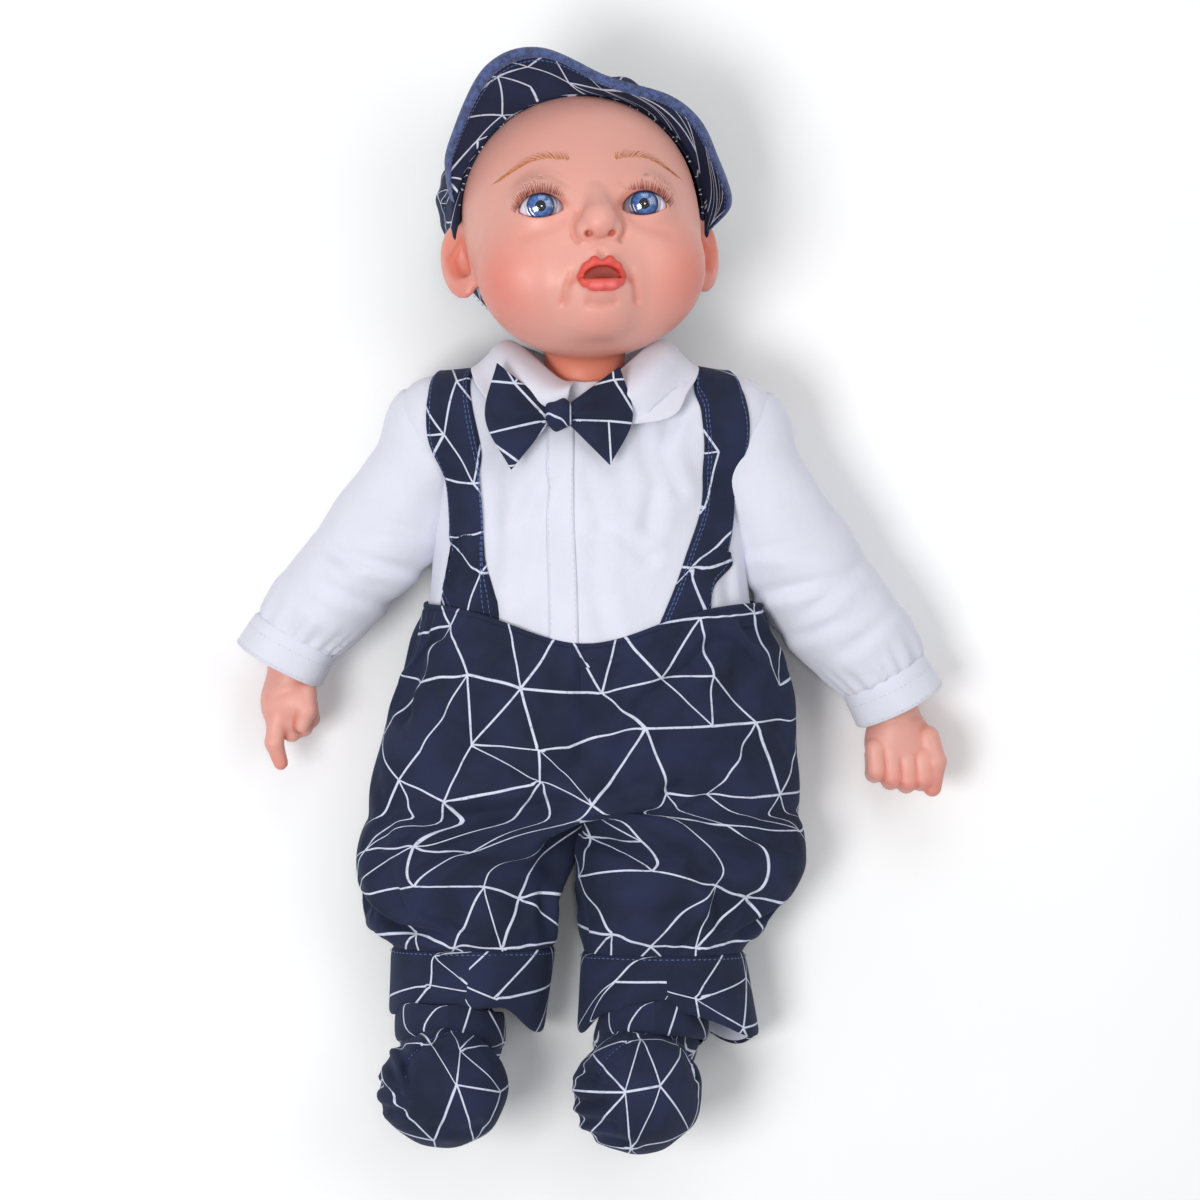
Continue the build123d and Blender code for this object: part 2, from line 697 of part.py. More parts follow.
def make_leg(side, hip, ankle):
    plane = along(hip, ankle)
    length = (Vector(*ankle) - Vector(*hip)).length
    knee = between(hip, ankle, KNEE_SHARE)
    knee_at = length * KNEE_SHARE
    flange_r, stem_r = SHANK_R - 1, SHANK_R - 4
    thigh = capsule(hip, THIGH_R, knee, KNEE_R)
    mouth = knee_at + KNEE_R
    thigh -= turned(
        [
            (0, mouth - 16),
            (flange_r + 0.4, mouth - 16),
            (flange_r + 0.4, mouth - 10),
            (stem_r + 0.3, mouth - 10),
            (stem_r + 0.3, mouth - 6),
            (40, mouth - 6),
            (40, mouth + 5),
            (0, mouth + 5),
        ],
        plane,
    )
    save(f"{side}_thigh", thigh)

    shank = turned(
        [
            (0, mouth - 15.6),
            (flange_r, mouth - 15.6),
            (flange_r, mouth - 10.4),
            (stem_r, mouth - 10.4),
            (stem_r, mouth - 5.6),
            (SHANK_R, mouth - 3),
            (ANKLE_R, length),
            (0, length),
        ],
        plane,
    )
    heel, toe = moved(ankle, FOOT_HEEL), moved(ankle, FOOT_TOE)
    foot = capsule(heel, HEEL_R, toe, TOE_R) + ball(ankle, ANKLE_R + 1)
    save(f"{side}_lower_leg", shank + foot)

    inner = 0.4
    cover = capsule(heel, HEEL_R + inner + BOOTIE, toe, TOE_R + inner + BOOTIE)
    cavity = capsule(heel, HEEL_R + inner, toe, TOE_R + inner) + ball(ankle, ANKLE_R + 1.4)
    leg_way = turned([(0, 20), (ANKLE_R + 3, 20), (ANKLE_R + 3, length + 2), (0, length + 2)], plane)
    cover = cover - cavity - leg_way
    save(f"{side}_bootie", max(cover.solids(), key=lambda s: s.volume))
    cuff = turned(
        [
            (ANKLE_R + 1.7, length - 12),
            (ANKLE_R + 4, length - 12),
            (ANKLE_R + 4, length + 3),
            (ANKLE_R + 1.7, length + 3),
        ],
        plane,
    )
    cuff_solids = (cuff - capsule(heel, HEEL_R + inner + BOOTIE + 0.2, toe, TOE_R + BOOTIE + 0.6)).solids()
    save(f"{side}_bootie_cuff", max(cuff_solids, key=lambda s: s.volume))


def main():
    rooms = joint_room()
    make_torso(rooms)
    make_shirt(rooms)
    make_collar()
    make_bow_tie()
    make_braces()
    make_seat(rooms)
    ceiling = make_module_cases()
    make_module_inside(ceiling)
    make_button_and_switch(ceiling)
    make_neck()
    make_head_shell()
    make_eyes()
    make_cap()
    make_arm("right", RIGHT_SHOULDER, RIGHT_WRIST, pointing_hand)
    make_arm("left", LEFT_SHOULDER, LEFT_WRIST, fist_hand)
    make_trouser_leg("right", RIGHT_LEG, RIGHT_HEM, (-86, -2))
    make_trouser_leg("left", LEFT_LEG, LEFT_HEM, (88, 2))
    make_leg("right", RIGHT_HIP, RIGHT_ANKLE)
    make_leg("left", LEFT_HIP, LEFT_ANKLE)


main()
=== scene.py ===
"""Looks of the soft-bodied baby doll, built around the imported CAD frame.

Lengths inside the shape functions are millimetres; meshes are made in metres.
The frame is the CAD's: +Z up and the doll's front, +Y to its head, +X to its left.
"""

import json
import math

import bmesh
import bpy
import numpy as np
from mathutils import Matrix, Vector


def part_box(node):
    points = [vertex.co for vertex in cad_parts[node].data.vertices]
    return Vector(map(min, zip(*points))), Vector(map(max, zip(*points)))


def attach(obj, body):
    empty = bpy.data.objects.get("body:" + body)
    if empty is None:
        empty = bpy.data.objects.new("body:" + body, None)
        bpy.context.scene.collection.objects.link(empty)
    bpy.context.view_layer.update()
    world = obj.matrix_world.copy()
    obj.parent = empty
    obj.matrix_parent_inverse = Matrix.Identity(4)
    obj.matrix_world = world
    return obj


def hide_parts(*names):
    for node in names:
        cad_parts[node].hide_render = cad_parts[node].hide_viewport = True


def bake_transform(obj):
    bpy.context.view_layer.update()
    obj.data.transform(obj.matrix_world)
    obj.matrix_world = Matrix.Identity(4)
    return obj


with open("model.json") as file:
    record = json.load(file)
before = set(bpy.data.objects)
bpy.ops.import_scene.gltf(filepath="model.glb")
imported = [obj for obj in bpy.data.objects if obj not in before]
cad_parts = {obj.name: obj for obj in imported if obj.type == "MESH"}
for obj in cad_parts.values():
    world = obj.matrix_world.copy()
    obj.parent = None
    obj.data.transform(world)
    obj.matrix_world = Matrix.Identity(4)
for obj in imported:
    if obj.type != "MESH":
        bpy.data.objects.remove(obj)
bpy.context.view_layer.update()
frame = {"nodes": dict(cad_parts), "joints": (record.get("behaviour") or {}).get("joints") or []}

MM = 0.001
rng = np.random.default_rng(7)


# ---------------------------------------------------------------- fields

def P(*values):
    return np.array(values, float)


def smin(a, b, k):
    """The lower of two distances, rounded over a width k where they meet."""
    h = np.clip(0.5 + 0.5 * (b - a) / k, 0, 1)
    return b + (a - b) * h - k * h * (1 - h)


def smax(a, b, k):
    return -smin(-a, -b, k)


def ball(p, centre, radius):
    return np.linalg.norm(p - P(*centre), axis=1) - radius


def egg(p, centre, radii):
    q = (p - P(*centre)) / P(*radii)
    near = np.linalg.norm(q, axis=1)
    steep = np.linalg.norm(q / P(*radii), axis=1)
    return near * (near - 1) / np.maximum(steep, 1e-9)


def limb(p, start, end, start_r, end_r):
    """A rounded bar that tapers from one radius to another."""
    start, end = P(*start), P(*end)
    way = end - start
    t = np.clip((p - start) @ way / (way @ way), 0, 1)
    return np.linalg.norm(p - start - t[:, None] * way, axis=1) - (start_r + (end_r - start_r) * t)


def step(x, low, high):
    t = np.clip((x - low) / (high - low), 0, 1)
    return t * t * (3 - 2 * t)


def bell(x, width):
    """1 where x is 0, falling smoothly away to both sides."""
    return np.exp(-((x / width) ** 2))


def unit(vectors):
    return vectors / np.linalg.norm(vectors, axis=-1, keepdims=True)


def line_distance(p, points):
    """Distance in the XY plane to a line through points."""
    best = np.full(len(p), 1e9)
    for a, b in zip(points, points[1:]):
        a, b = P(*a), P(*b)
        way = b - a
        t = np.clip((p[:, :2] - a) @ way / (way @ way), 0, 1)
        best = np.minimum(best, np.linalg.norm(p[:, :2] - a - t[:, None] * way, axis=1))
    return best


def groove(p, points, width):
    return bell(line_distance(p, points), width)


def crease(p, points, width, ridge=0.6, far=2.0, wide=1.0):
    """A groove with a soft ridge on both sides."""
    away = line_distance(p, points)
    return bell(away, width) - ridge * bell(away - far * width, wide * width)


def surface_net(field, low, high, pitch):
    """Quads on field = 0, one vertex in each cell that the surface crosses."""
    axes = [np.arange(a, b + pitch, pitch) for a, b in zip(low, high)]
    shape = tuple(len(a) for a in axes)
    values = np.empty(shape)
    yz = np.stack(np.meshgrid(axes[1], axes[2], indexing="ij"), axis=-1).reshape(-1, 2)
    for i, x in enumerate(axes[0]):
        plane = np.column_stack([np.full(len(yz), x), yz])
        values[i] = field(plane).reshape(shape[1:])
    inside = values < 0
    corners = [(i, j, k) for i in (0, 1) for j in (0, 1) for k in (0, 1)]
    cut = [slice(0, n - 1) for n in shape]
    count = sum(
        inside[tuple(slice(c.start + o, c.stop + o) for c, o in zip(cut, k))].astype(int) for k in corners
    )
    active = (count > 0) & (count < 8)
    cells = np.argwhere(active)
    index = -np.ones(active.shape, int)
    index[active] = np.arange(len(cells))
    corner_values = [values[cells[:, 0] + i, cells[:, 1] + j, cells[:, 2] + k] for i, j, k in corners]
    total = np.zeros((len(cells), 3))
    hits = np.zeros(len(cells))
    for a in range(8):
        for b in range(a + 1, 8):
            if sum(x != y for x, y in zip(corners[a], corners[b])) != 1:
                continue
            va, vb = corner_values[a], corner_values[b]
            crosses = (va < 0) != (vb < 0)
            t = np.where(crosses, va / np.where(crosses, va - vb, 1), 0)
            spot = P(*corners[a]) + t[:, None] * (P(*corners[b]) - P(*corners[a]))
            total[crosses] += spot[crosses]
            hits[crosses] += 1
    vertices = P(*[a[0] for a in axes]) + pitch * (cells + total / hits[:, None])
    faces = []
    for axis in range(3):
        b, c = (axis + 1) % 3, (axis + 2) % 3
        low_side = [slice(1, n - 1) for n in shape]
        high_side = list(low_side)
        low_side[axis] = slice(0, shape[axis] - 1)
        high_side[axis] = slice(1, shape[axis])
        first, second = inside[tuple(low_side)], inside[tuple(high_side)]
        spots = np.argwhere(first != second)
        goes_out = first[tuple(spots.T)]
        spots[:, b] += 1
        spots[:, c] += 1
        step_b, step_c = np.eye(3, dtype=int)[b], np.eye(3, dtype=int)[c]
        ring = [spots - step_b - step_c, spots - step_c, spots, spots - step_b]
        quads = np.stack([index[tuple(r.T)] for r in ring], axis=1)
        quads[~goes_out] = quads[~goes_out][:, ::-1]
        faces.append(quads)
    return vertices, np.concatenate(faces)


def slope(field, p, h=0.05):
    parts = []
    for axis in range(3):
        shift = np.eye(3)[axis] * h
        parts.append((field(p + shift) - field(p - shift)) / (2 * h))
    return np.stack(parts, axis=1)


def settle(field, p, rounds=3, level=0.0):
    """Moves points onto the surface field = level."""
    for _ in range(rounds):
        g = slope(field, p)
        p = p - ((field(p) - level) / np.maximum((g * g).sum(1), 0.2))[:, None] * g
    return p


def drop(field, p, way, level=0.0):
    """Slides points along a direction until they meet the surface."""
    way = P(*way) / np.linalg.norm(way)
    for _ in range(60):
        p = p + ((field(p) - level) * 0.8)[:, None] * way
    return p


# ---------------------------------------------------------------- meshes

def mesh_piece(name, vertices, faces, uvs=None):
    mesh = bpy.data.meshes.new(name)
    mesh.from_pydata(
        [tuple(v) for v in np.asarray(vertices) * MM], [], [tuple(int(i) for i in f) for f in faces]
    )
    if uvs is not None:
        layer = mesh.uv_layers.new(name="UVMap")
        loops = np.empty(len(mesh.loops), int)
        mesh.loops.foreach_get("vertex_index", loops)
        layer.data.foreach_set("uv", np.asarray(uvs, np.float32)[loops].ravel())
    mesh.polygons.foreach_set("use_smooth", [True] * len(mesh.polygons))
    mesh.validate()
    piece = bpy.data.objects.new(name, mesh)
    bpy.context.scene.collection.objects.link(piece)
    return piece


def flat_square(name, reach, z):
    corners = [(-reach, -reach, z), (reach, -reach, z), (reach, reach, z), (-reach, reach, z)]
    return mesh_piece(name, corners, [(0, 1, 2, 3)])


def points_of(piece):
    out = np.empty(len(piece.data.vertices) * 3)
    piece.data.vertices.foreach_get("co", out)
    return out.reshape(-1, 3) / MM


def set_points(piece, p):
    piece.data.vertices.foreach_set("co", (p * MM).ravel())
    piece.data.update()


def paint(piece, colours):
    """Stores a colour for each vertex, which the material reads."""
    attribute = piece.data.color_attributes.new("paint", "FLOAT_COLOR", "POINT")
    rgba = np.column_stack([colours, np.ones(len(colours))])
    attribute.data.foreach_set("color", rgba.astype(np.float32).ravel())


def refine(piece, chosen):
    """Splits the faces whose vertices are chosen into quarters."""
    bm = bmesh.new()
    bm.from_mesh(piece.data)
    edges = [e for e in bm.edges if chosen[e.verts[0].index] and chosen[e.verts[1].index]]
    bmesh.ops.subdivide_edges(bm, edges=edges, cuts=1, use_grid_fill=True)
    bm.to_mesh(piece.data)
    bm.free()
    piece.data.polygons.foreach_set("use_smooth", [True] * len(piece.data.polygons))


def field_piece(name, field, low, high, pitch, fine=None):
    """A mesh of a field, with quarter-size faces where fine(points) is true."""
    vertices, faces = surface_net(field, low, high, pitch)
    piece = mesh_piece(name, settle(field, vertices), faces)
    if fine is not None:
        refine(piece, fine(points_of(piece)))
        set_points(piece, settle(field, points_of(piece)))
    return piece


def finish_piece(piece, material, slot, *nodes, body=None):
    piece.data.materials.clear()
    piece.data.materials.append(material)
    if body:
        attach(piece, body)
    if nodes:
        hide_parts(*nodes)
    return piece


# ---------------------------------------------------------------- materials

def linear(r, g, b):
    """A linear colour from 0-255 screen values."""
    return tuple(((v / 255 + 0.055) / 1.055) ** 2.4 if v > 10 else v / 3294 for v in (r, g, b))


class Shader:
    """Short ways to write a node material."""

    def __init__(self, name, **principled):
        self.material = bpy.data.materials.new(name)
        self.material.use_nodes = True
        self.tree = self.material.node_tree
        self.base = self.tree.nodes["Principled BSDF"]
        self.set(self.base, principled)

    def set(self, node, values):
        for key, value in values.items():
            socket = node.inputs[key.replace("_", " ") if isinstance(key, str) else key]
            if isinstance(value, bpy.types.NodeSocket):
                self.tree.links.new(value, socket)
            elif isinstance(value, tuple) and len(value) == 3 and socket.type == "RGBA":
                socket.default_value = (*value, 1)
            else:
                socket.default_value = value

    def node(self, kind, inputs=None, **settings):
        node = self.tree.nodes.new(kind)
        for key, value in settings.items():
            setattr(node, key, value)
        self.set(node, inputs or {})
        return node

    def math(self, operation, a, b=0.0, c=0.0):
        return self.node("ShaderNodeMath", {0: a, 1: b, 2: c}, operation=operation).outputs[0]

    def plus(self, a, b):
        return self.math("ADD", a, b)

    def minus(self, a, b):
        return self.math("SUBTRACT", a, b)

    def times(self, a, b):
        return self.math("MULTIPLY", a, b)

    def spread(self, value, low, high, to_low=0.0, to_high=1.0):
        node = self.node(
            "ShaderNodeMapRange",
            {0: value, 1: low, 2: high, 3: to_low, 4: to_high},
            interpolation_type="SMOOTHSTEP",
        )
        return node.outputs[0]

    def mix(self, factor, a, b, blend="MIX"):
        node = self.node("ShaderNodeMix", {0: factor, 6: a, 7: b}, data_type="RGBA", blend_type=blend)
        return node.outputs[2]

    def scaled(self, vector, factor):
        return self.node("ShaderNodeVectorMath", {0: vector, "Scale": factor}, operation="SCALE").outputs[0]

    def split(self, vector):
        return self.node("ShaderNodeSeparateXYZ", {0: vector}).outputs

    def joined(self, x, y, z=0.0):
        return self.node("ShaderNodeCombineXYZ", {0: x, 1: y, 2: z}).outputs[0]

    def chance(self, vector, kind="Value"):
        return self.node("ShaderNodeTexWhiteNoise", {"Vector": vector}, noise_dimensions="3D").outputs[kind]

    def place(self, kind="Object"):
        return self.node("ShaderNodeTexCoord").outputs[kind]

    def noise(self, where, scale, detail=2.0, roughness=0.5, colour=False):
        node = self.node(
            "ShaderNodeTexNoise", {"Vector": where, "Scale": scale, "Detail": detail, "Roughness": roughness}
        )
        return node.outputs[1 if colour else 0]

    def bump(self, height, distance, strength=1.0, under=None):
        inputs = {"Height": height, "Distance": distance, "Strength": strength}
        if under is not None:
            inputs["Normal"] = under
        return self.node("ShaderNodeBump", inputs).outputs[0]

    def finish(self, **values):
        self.set(self.base, values)
        return self.material


def skin_material():
    s = Shader(
        "doll_vinyl",
        Subsurface_Weight=0.22,
        Subsurface_Scale=0.004,
        Subsurface_Radius=(1.0, 0.35, 0.2),
        IOR=1.46,
    )
    where = s.place()
    colour = s.node("ShaderNodeVertexColor", layer_name="paint").outputs[0]
    mottle = s.noise(where, 60, 3)
    warm = s.mix(
        s.spread(mottle, 0.3, 0.7, 0, 0.10), colour, s.mix(1.0, colour, (1.0, 0.86, 0.82), "MULTIPLY")
    )
    fine = s.noise(where, 2600, 2)
    broad = s.noise(where, 240, 2)
    height = s.plus(s.times(fine, 0.35), s.times(broad, 0.65))
    rough = s.spread(broad, 0.3, 0.7, 0.40, 0.5)
    return s.finish(Base_Color=warm, Roughness=rough, Normal=s.bump(height, 0.00005, 0.5))


def eye_material():
    """U turns round the gaze and V runs from the pupil's middle outwards, in millimetres."""
    s = Shader("eye_print", Roughness=0.08, IOR=1.5, Coat_Weight=1.0, Coat_Roughness=0.03)
    split = s.split(s.place("UV"))
    turn, out = split[0], split[1]
    ray_place = s.joined(s.times(turn, 40.0), s.times(out, 0.35))
    rays = s.noise(ray_place, 1.0, 3, 0.6)
    fine_rays = s.noise(ray_place, 2.7, 2, 0.6)
    blue = s.mix(s.spread(rays, 0.32, 0.68), linear(32, 74, 156), linear(80, 128, 200))
    blue = s.mix(s.spread(fine_rays, 0.45, 0.75, 0, 0.45), blue, linear(132, 178, 232))
    inner = s.mix(s.spread(out, 2.2, 3.6), linear(92, 140, 208), blue)
    rim = s.mix(s.spread(out, 4.6, 5.9, 0, 1), inner, linear(24, 38, 84))
    iris = s.mix(s.spread(out, 2.2, 2.6), (0.004, 0.004, 0.006), rim)
    white = s.mix(s.spread(out, 6.0, 12.0), linear(232, 228, 244), linear(216, 196, 210))
    colour = s.mix(s.spread(out, 5.75, 6.15), iris, white)
    return s.finish(Base_Color=colour)


def clear_material():
    s = Shader("clear_dome")
    s.tree.nodes.remove(s.base)
    through = s.node("ShaderNodeBsdfTransparent").outputs[0]
    gloss = s.node("ShaderNodeBsdfGlossy", {"Roughness": 0.03}).outputs[0]
    edge = s.node("ShaderNodeFresnel", {"IOR": 1.5}).outputs[0]
    both = s.node("ShaderNodeMixShader", {0: edge, 1: through, 2: gloss}).outputs[0]
    s.tree.links.new(both, s.tree.nodes["Material Output"].inputs[0])
    return s.material


def hair_material(name, colour):
    s = Shader(name, Roughness=0.55)
    tint = s.noise(s.place(), 900, 2)
    return s.finish(Base_Color=s.mix(s.spread(tint, 0.3, 0.7), colour, tuple(c * 1.7 for c in colour)))


SKIN = skin_material()
EYE = eye_material()
CLEAR = clear_material()
BROW = hair_material("brow_strokes", linear(176, 112, 60))
LASH = hair_material("lash_hair", linear(88, 40, 36))

SKIN_TONE = P(*linear(222, 161, 148))
BLUSH = P(*linear(214, 106, 92))
LIP = P(*linear(214, 78, 68))
# Colour of the painted highlight on the lower lip
LIP_HIGHLIGHT = P(*linear(236, 124, 124))
# Colour of the painted shade inside the mouth
MOUTH_SHADE = P(*linear(120, 24, 18))
LID_RED = P(*linear(186, 106, 88))


def blend_colour(base, colour, weight):
    return base + (P(*colour) - base) * np.clip(weight, 0, 1)[:, None]


# ---------------------------------------------------------------- head

HEAD_PITCH, HEAD_YAW, HEAD_ROLL = 14.0, 7.5, 2.2
HEAD_CENTRE = P(-1, 157.5, 60)
HEAD_TURN = np.array(
    Matrix.Rotation(math.radians(HEAD_ROLL), 3, "Z")
    @ Matrix.Rotation(math.radians(HEAD_YAW), 3, "Y")
    @ Matrix.Rotation(math.radians(-HEAD_PITCH), 3, "X")
)


def from_head(p):
    return p @ HEAD_TURN.T + HEAD_CENTRE


def to_head(p):
    return (p - HEAD_CENTRE) @ HEAD_TURN


def middle(node):
    low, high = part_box(node)
    return (P(*low) + P(*high)) / 2 / MM


EYES = {side: to_head(middle(f"{side}_eye")[None])[0] for side in ("left", "right")}
EYE_R = 11.3
# Where the eyes look, in the head's frame, and the two ways across it
GAZE = unit(P(-0.14, -0.33, 0.93))
GAZE_X = unit(np.cross(P(0, 1, 0), GAZE))
GAZE_Y = np.cross(GAZE, GAZE_X)
# Half the eye's width, the height of its corners, and how far each lid curves from there
LID_HALF, LID_LOW, LID_TOP, LID_BOTTOM = 9.2, -2.0, 7.0, 2.6
LID_TOP_R = (LID_HALF**2 + LID_TOP**2) / (2 * LID_TOP)
LID_BOTTOM_R = (LID_HALF**2 + LID_BOTTOM**2) / (2 * LID_BOTTOM)

UPPER_LIP = [(0, -29.2, 52.9), (3.0, -28.3, 52.8), (6.2, -30.2, 51.4), (9.2, -33.3, 48.6)]
LOWER_LIP = [(0, -37.6, 51.4), (4.0, -37.2, 50.9), (7.0, -35.6, 50.0), (9.2, -33.7, 48.6)]
EAR_CENTRE = P(50.5, -6, -5)
EAR_TURN = np.array(
    Matrix.Rotation(math.radians(38), 3, "Y") @ Matrix.Rotation(math.radians(-6), 3, "Z")
)
NECK_LOW, NECK_HIGH = (to_head(P(0, y, z)[None])[0] for y, z in ((95, 50), (132, 58)))


def eye_place(p, side):
    q = p - EYES[side]
    return q @ GAZE_X, q @ GAZE_Y, q @ GAZE


def lid_opening(p, side):
    """Distance outside the gap between the lids, seen along the gaze."""
    u, w, _ = eye_place(p, side)
    top = np.hypot(u, w - (LID_LOW + LID_TOP - LID_TOP_R)) - LID_TOP_R
    bottom = np.hypot(u, w - (LID_LOW - LID_BOTTOM + LID_BOTTOM_R)) - LID_BOTTOM_R
    return smax(top, bottom, 0.8)


def lips_field(q):
    """Distances to the upper and the lower lip."""
    upper = np.full(len(q), 99.0)
    lower = np.full(len(q), 99.0)
    radii = [1.9, 2.1, 1.8, 0.9]
    for a, b, ra, rb in zip(UPPER_LIP, UPPER_LIP[1:], radii, radii[1:]):
        upper = smin(upper, limb(q, a, b, ra, rb), 0.9)
    radii = [2.7, 2.6, 2.0, 0.9]
    for a, b, ra, rb in zip(LOWER_LIP, LOWER_LIP[1:], radii, radii[1:]):
        lower = smin(lower, limb(q, a, b, ra, rb), 0.9)
    return upper, lower


def mouth_gap(q):
    """The opening between the lips, flat along the lower one."""
    d = egg(q, (0, -34.6, 51), (7.6, 4.6, 6.5))
    return smax(d, -(q[:, 1] + 35.2), 0.6)


def ear_fields(q):
    """Distances to the ear and to its hollows."""
    e = (q - EAR_CENTRE) @ EAR_TURN
    plate = egg(e, (0, 0, 0), (9.5, 16.5, 3.6))
    hollow = egg(e, (0.2, 2.5, 3.5), (6.2, 11.5, 3.2))
    canal = egg(e, (-2.6, -3.0, 1.6), (3.2, 5.6, 3.2))
    ridge = smin(
        limb(e, (-2.5, 7.5, 1.0), (3.4, 1.5, 1.1), 1.1, 1.3),
        limb(e, (3.4, 1.5, 1.1), (2.2, -8.5, 1.3), 1.3, 1.5),
        0.8,
    )
    ear = smax(plate, -hollow, 1.6)
    ear = smin(ear, ridge, 2.0)
    return smax(ear, -canal, 1.5), np.minimum(hollow, canal)


def head_field(p):
    """The vinyl head with its lids, ears and neck. The face is the same on both sides."""
    q = p.copy()
    q[:, 0] = np.abs(q[:, 0])
    # Skull, face, throat, jowls, cheeks, chin and muzzle
    d = egg(q, (0, 14, -4), (49, 48, 48.5))
    d = smin(d, egg(q, (0, -6, 9), (46.8, 40.5, 42.5)), 10)
    d = smin(d, ball(q, (0, -18, 8), 34.5), 9)
    d = smin(d, ball(q, (18.5, -26, 16), 22), 11)
    d = smin(d, ball(q, (25.5, -21.5, 24), 19), 11)
    d = smin(d, egg(q, (0, -42.0, 31.5), (12, 9.5, 10.5)), 10)
    d = smin(d, egg(q, (0, -30, 38), (16, 12.5, 12.8)), 9)
    nose = limb(q, (0, 1, 48.0), (0, -10, 53.0), 4.2, 6.6)
    nose = smin(nose, ball(q, (0, -12.0, 54.2), 6.3), 3)
    nose = smin(nose, egg(q, (5.4, -13.8, 50.6), (4.2, 4.8, 4.9)), 1.8)
    d = smin(d, nose, 2.6)
    upper, lower = lips_field(q)
    d = smin(d, smin(upper, lower, 0.5), 1.8)
    d = smax(d, -mouth_gap(q), 0.7)
    d = smin(d, egg(q, (0, -35.0, 44.5), (6.5, 2.6, 4.5)), 0.6)
    # Lines under the eyes, beside and under the mouth, over the lip, over the lids and round the nose
    front = step(q[:, 2], 15, 30)
    d = d + front * (
        0.55 * groove(q, [(14, -9.5), (20, -12.0), (29, -14.0)], 2.6)
        + 0.9 * groove(q, [(11.6, -31.0), (13.4, -34.5), (14.6, -40)], 1.7)
        + 1.1 * groove(q, [(-5, -42.3), (0, -43.2), (5, -42.3)], 1.8)
        + 0.8 * groove(q, [(0, -23.0), (0, -27.0)], 1.3)
        + 0.5 * groove(q, [(11.8, 6), (17, 10.6), (24, 11.4), (32, 6.5)], 1.4)
        + 0.7 * groove(q, [(9.4, -33.6), (11.6, -34.2)], 1.2)
        + 0.8 * groove(q, [(8.4, -6.5), (10.6, -11.5), (10.4, -16.0), (8.8, -18.6)], 1.0)
    )
    nostril = limb(q, (4.9, -18.4, 55.5), (4.5, -16.2, 52.6), 1.5, 1.3)
    d = smax(d, -nostril, 1.6)
    for side in ("left", "right"):
        _, _, t = eye_place(p, side)
        lid = ball(p, EYES[side], EYE_R + 1.5)
        d = smin(d, lid, 4.0)
        gap = smax(lid_opening(p, side), 6.0 - t, 1.0)
        d = smax(d, -gap, 0.7)
        d = smax(d, -ball(p, EYES[side], EYE_R + 0.25), 0.15)
    ear, _ = ear_fields(q)
    d = smin(d, ear, 2.2)
    return smin(d, limb(p, NECK_LOW, NECK_HIGH, 16.2, 17.5), 5)


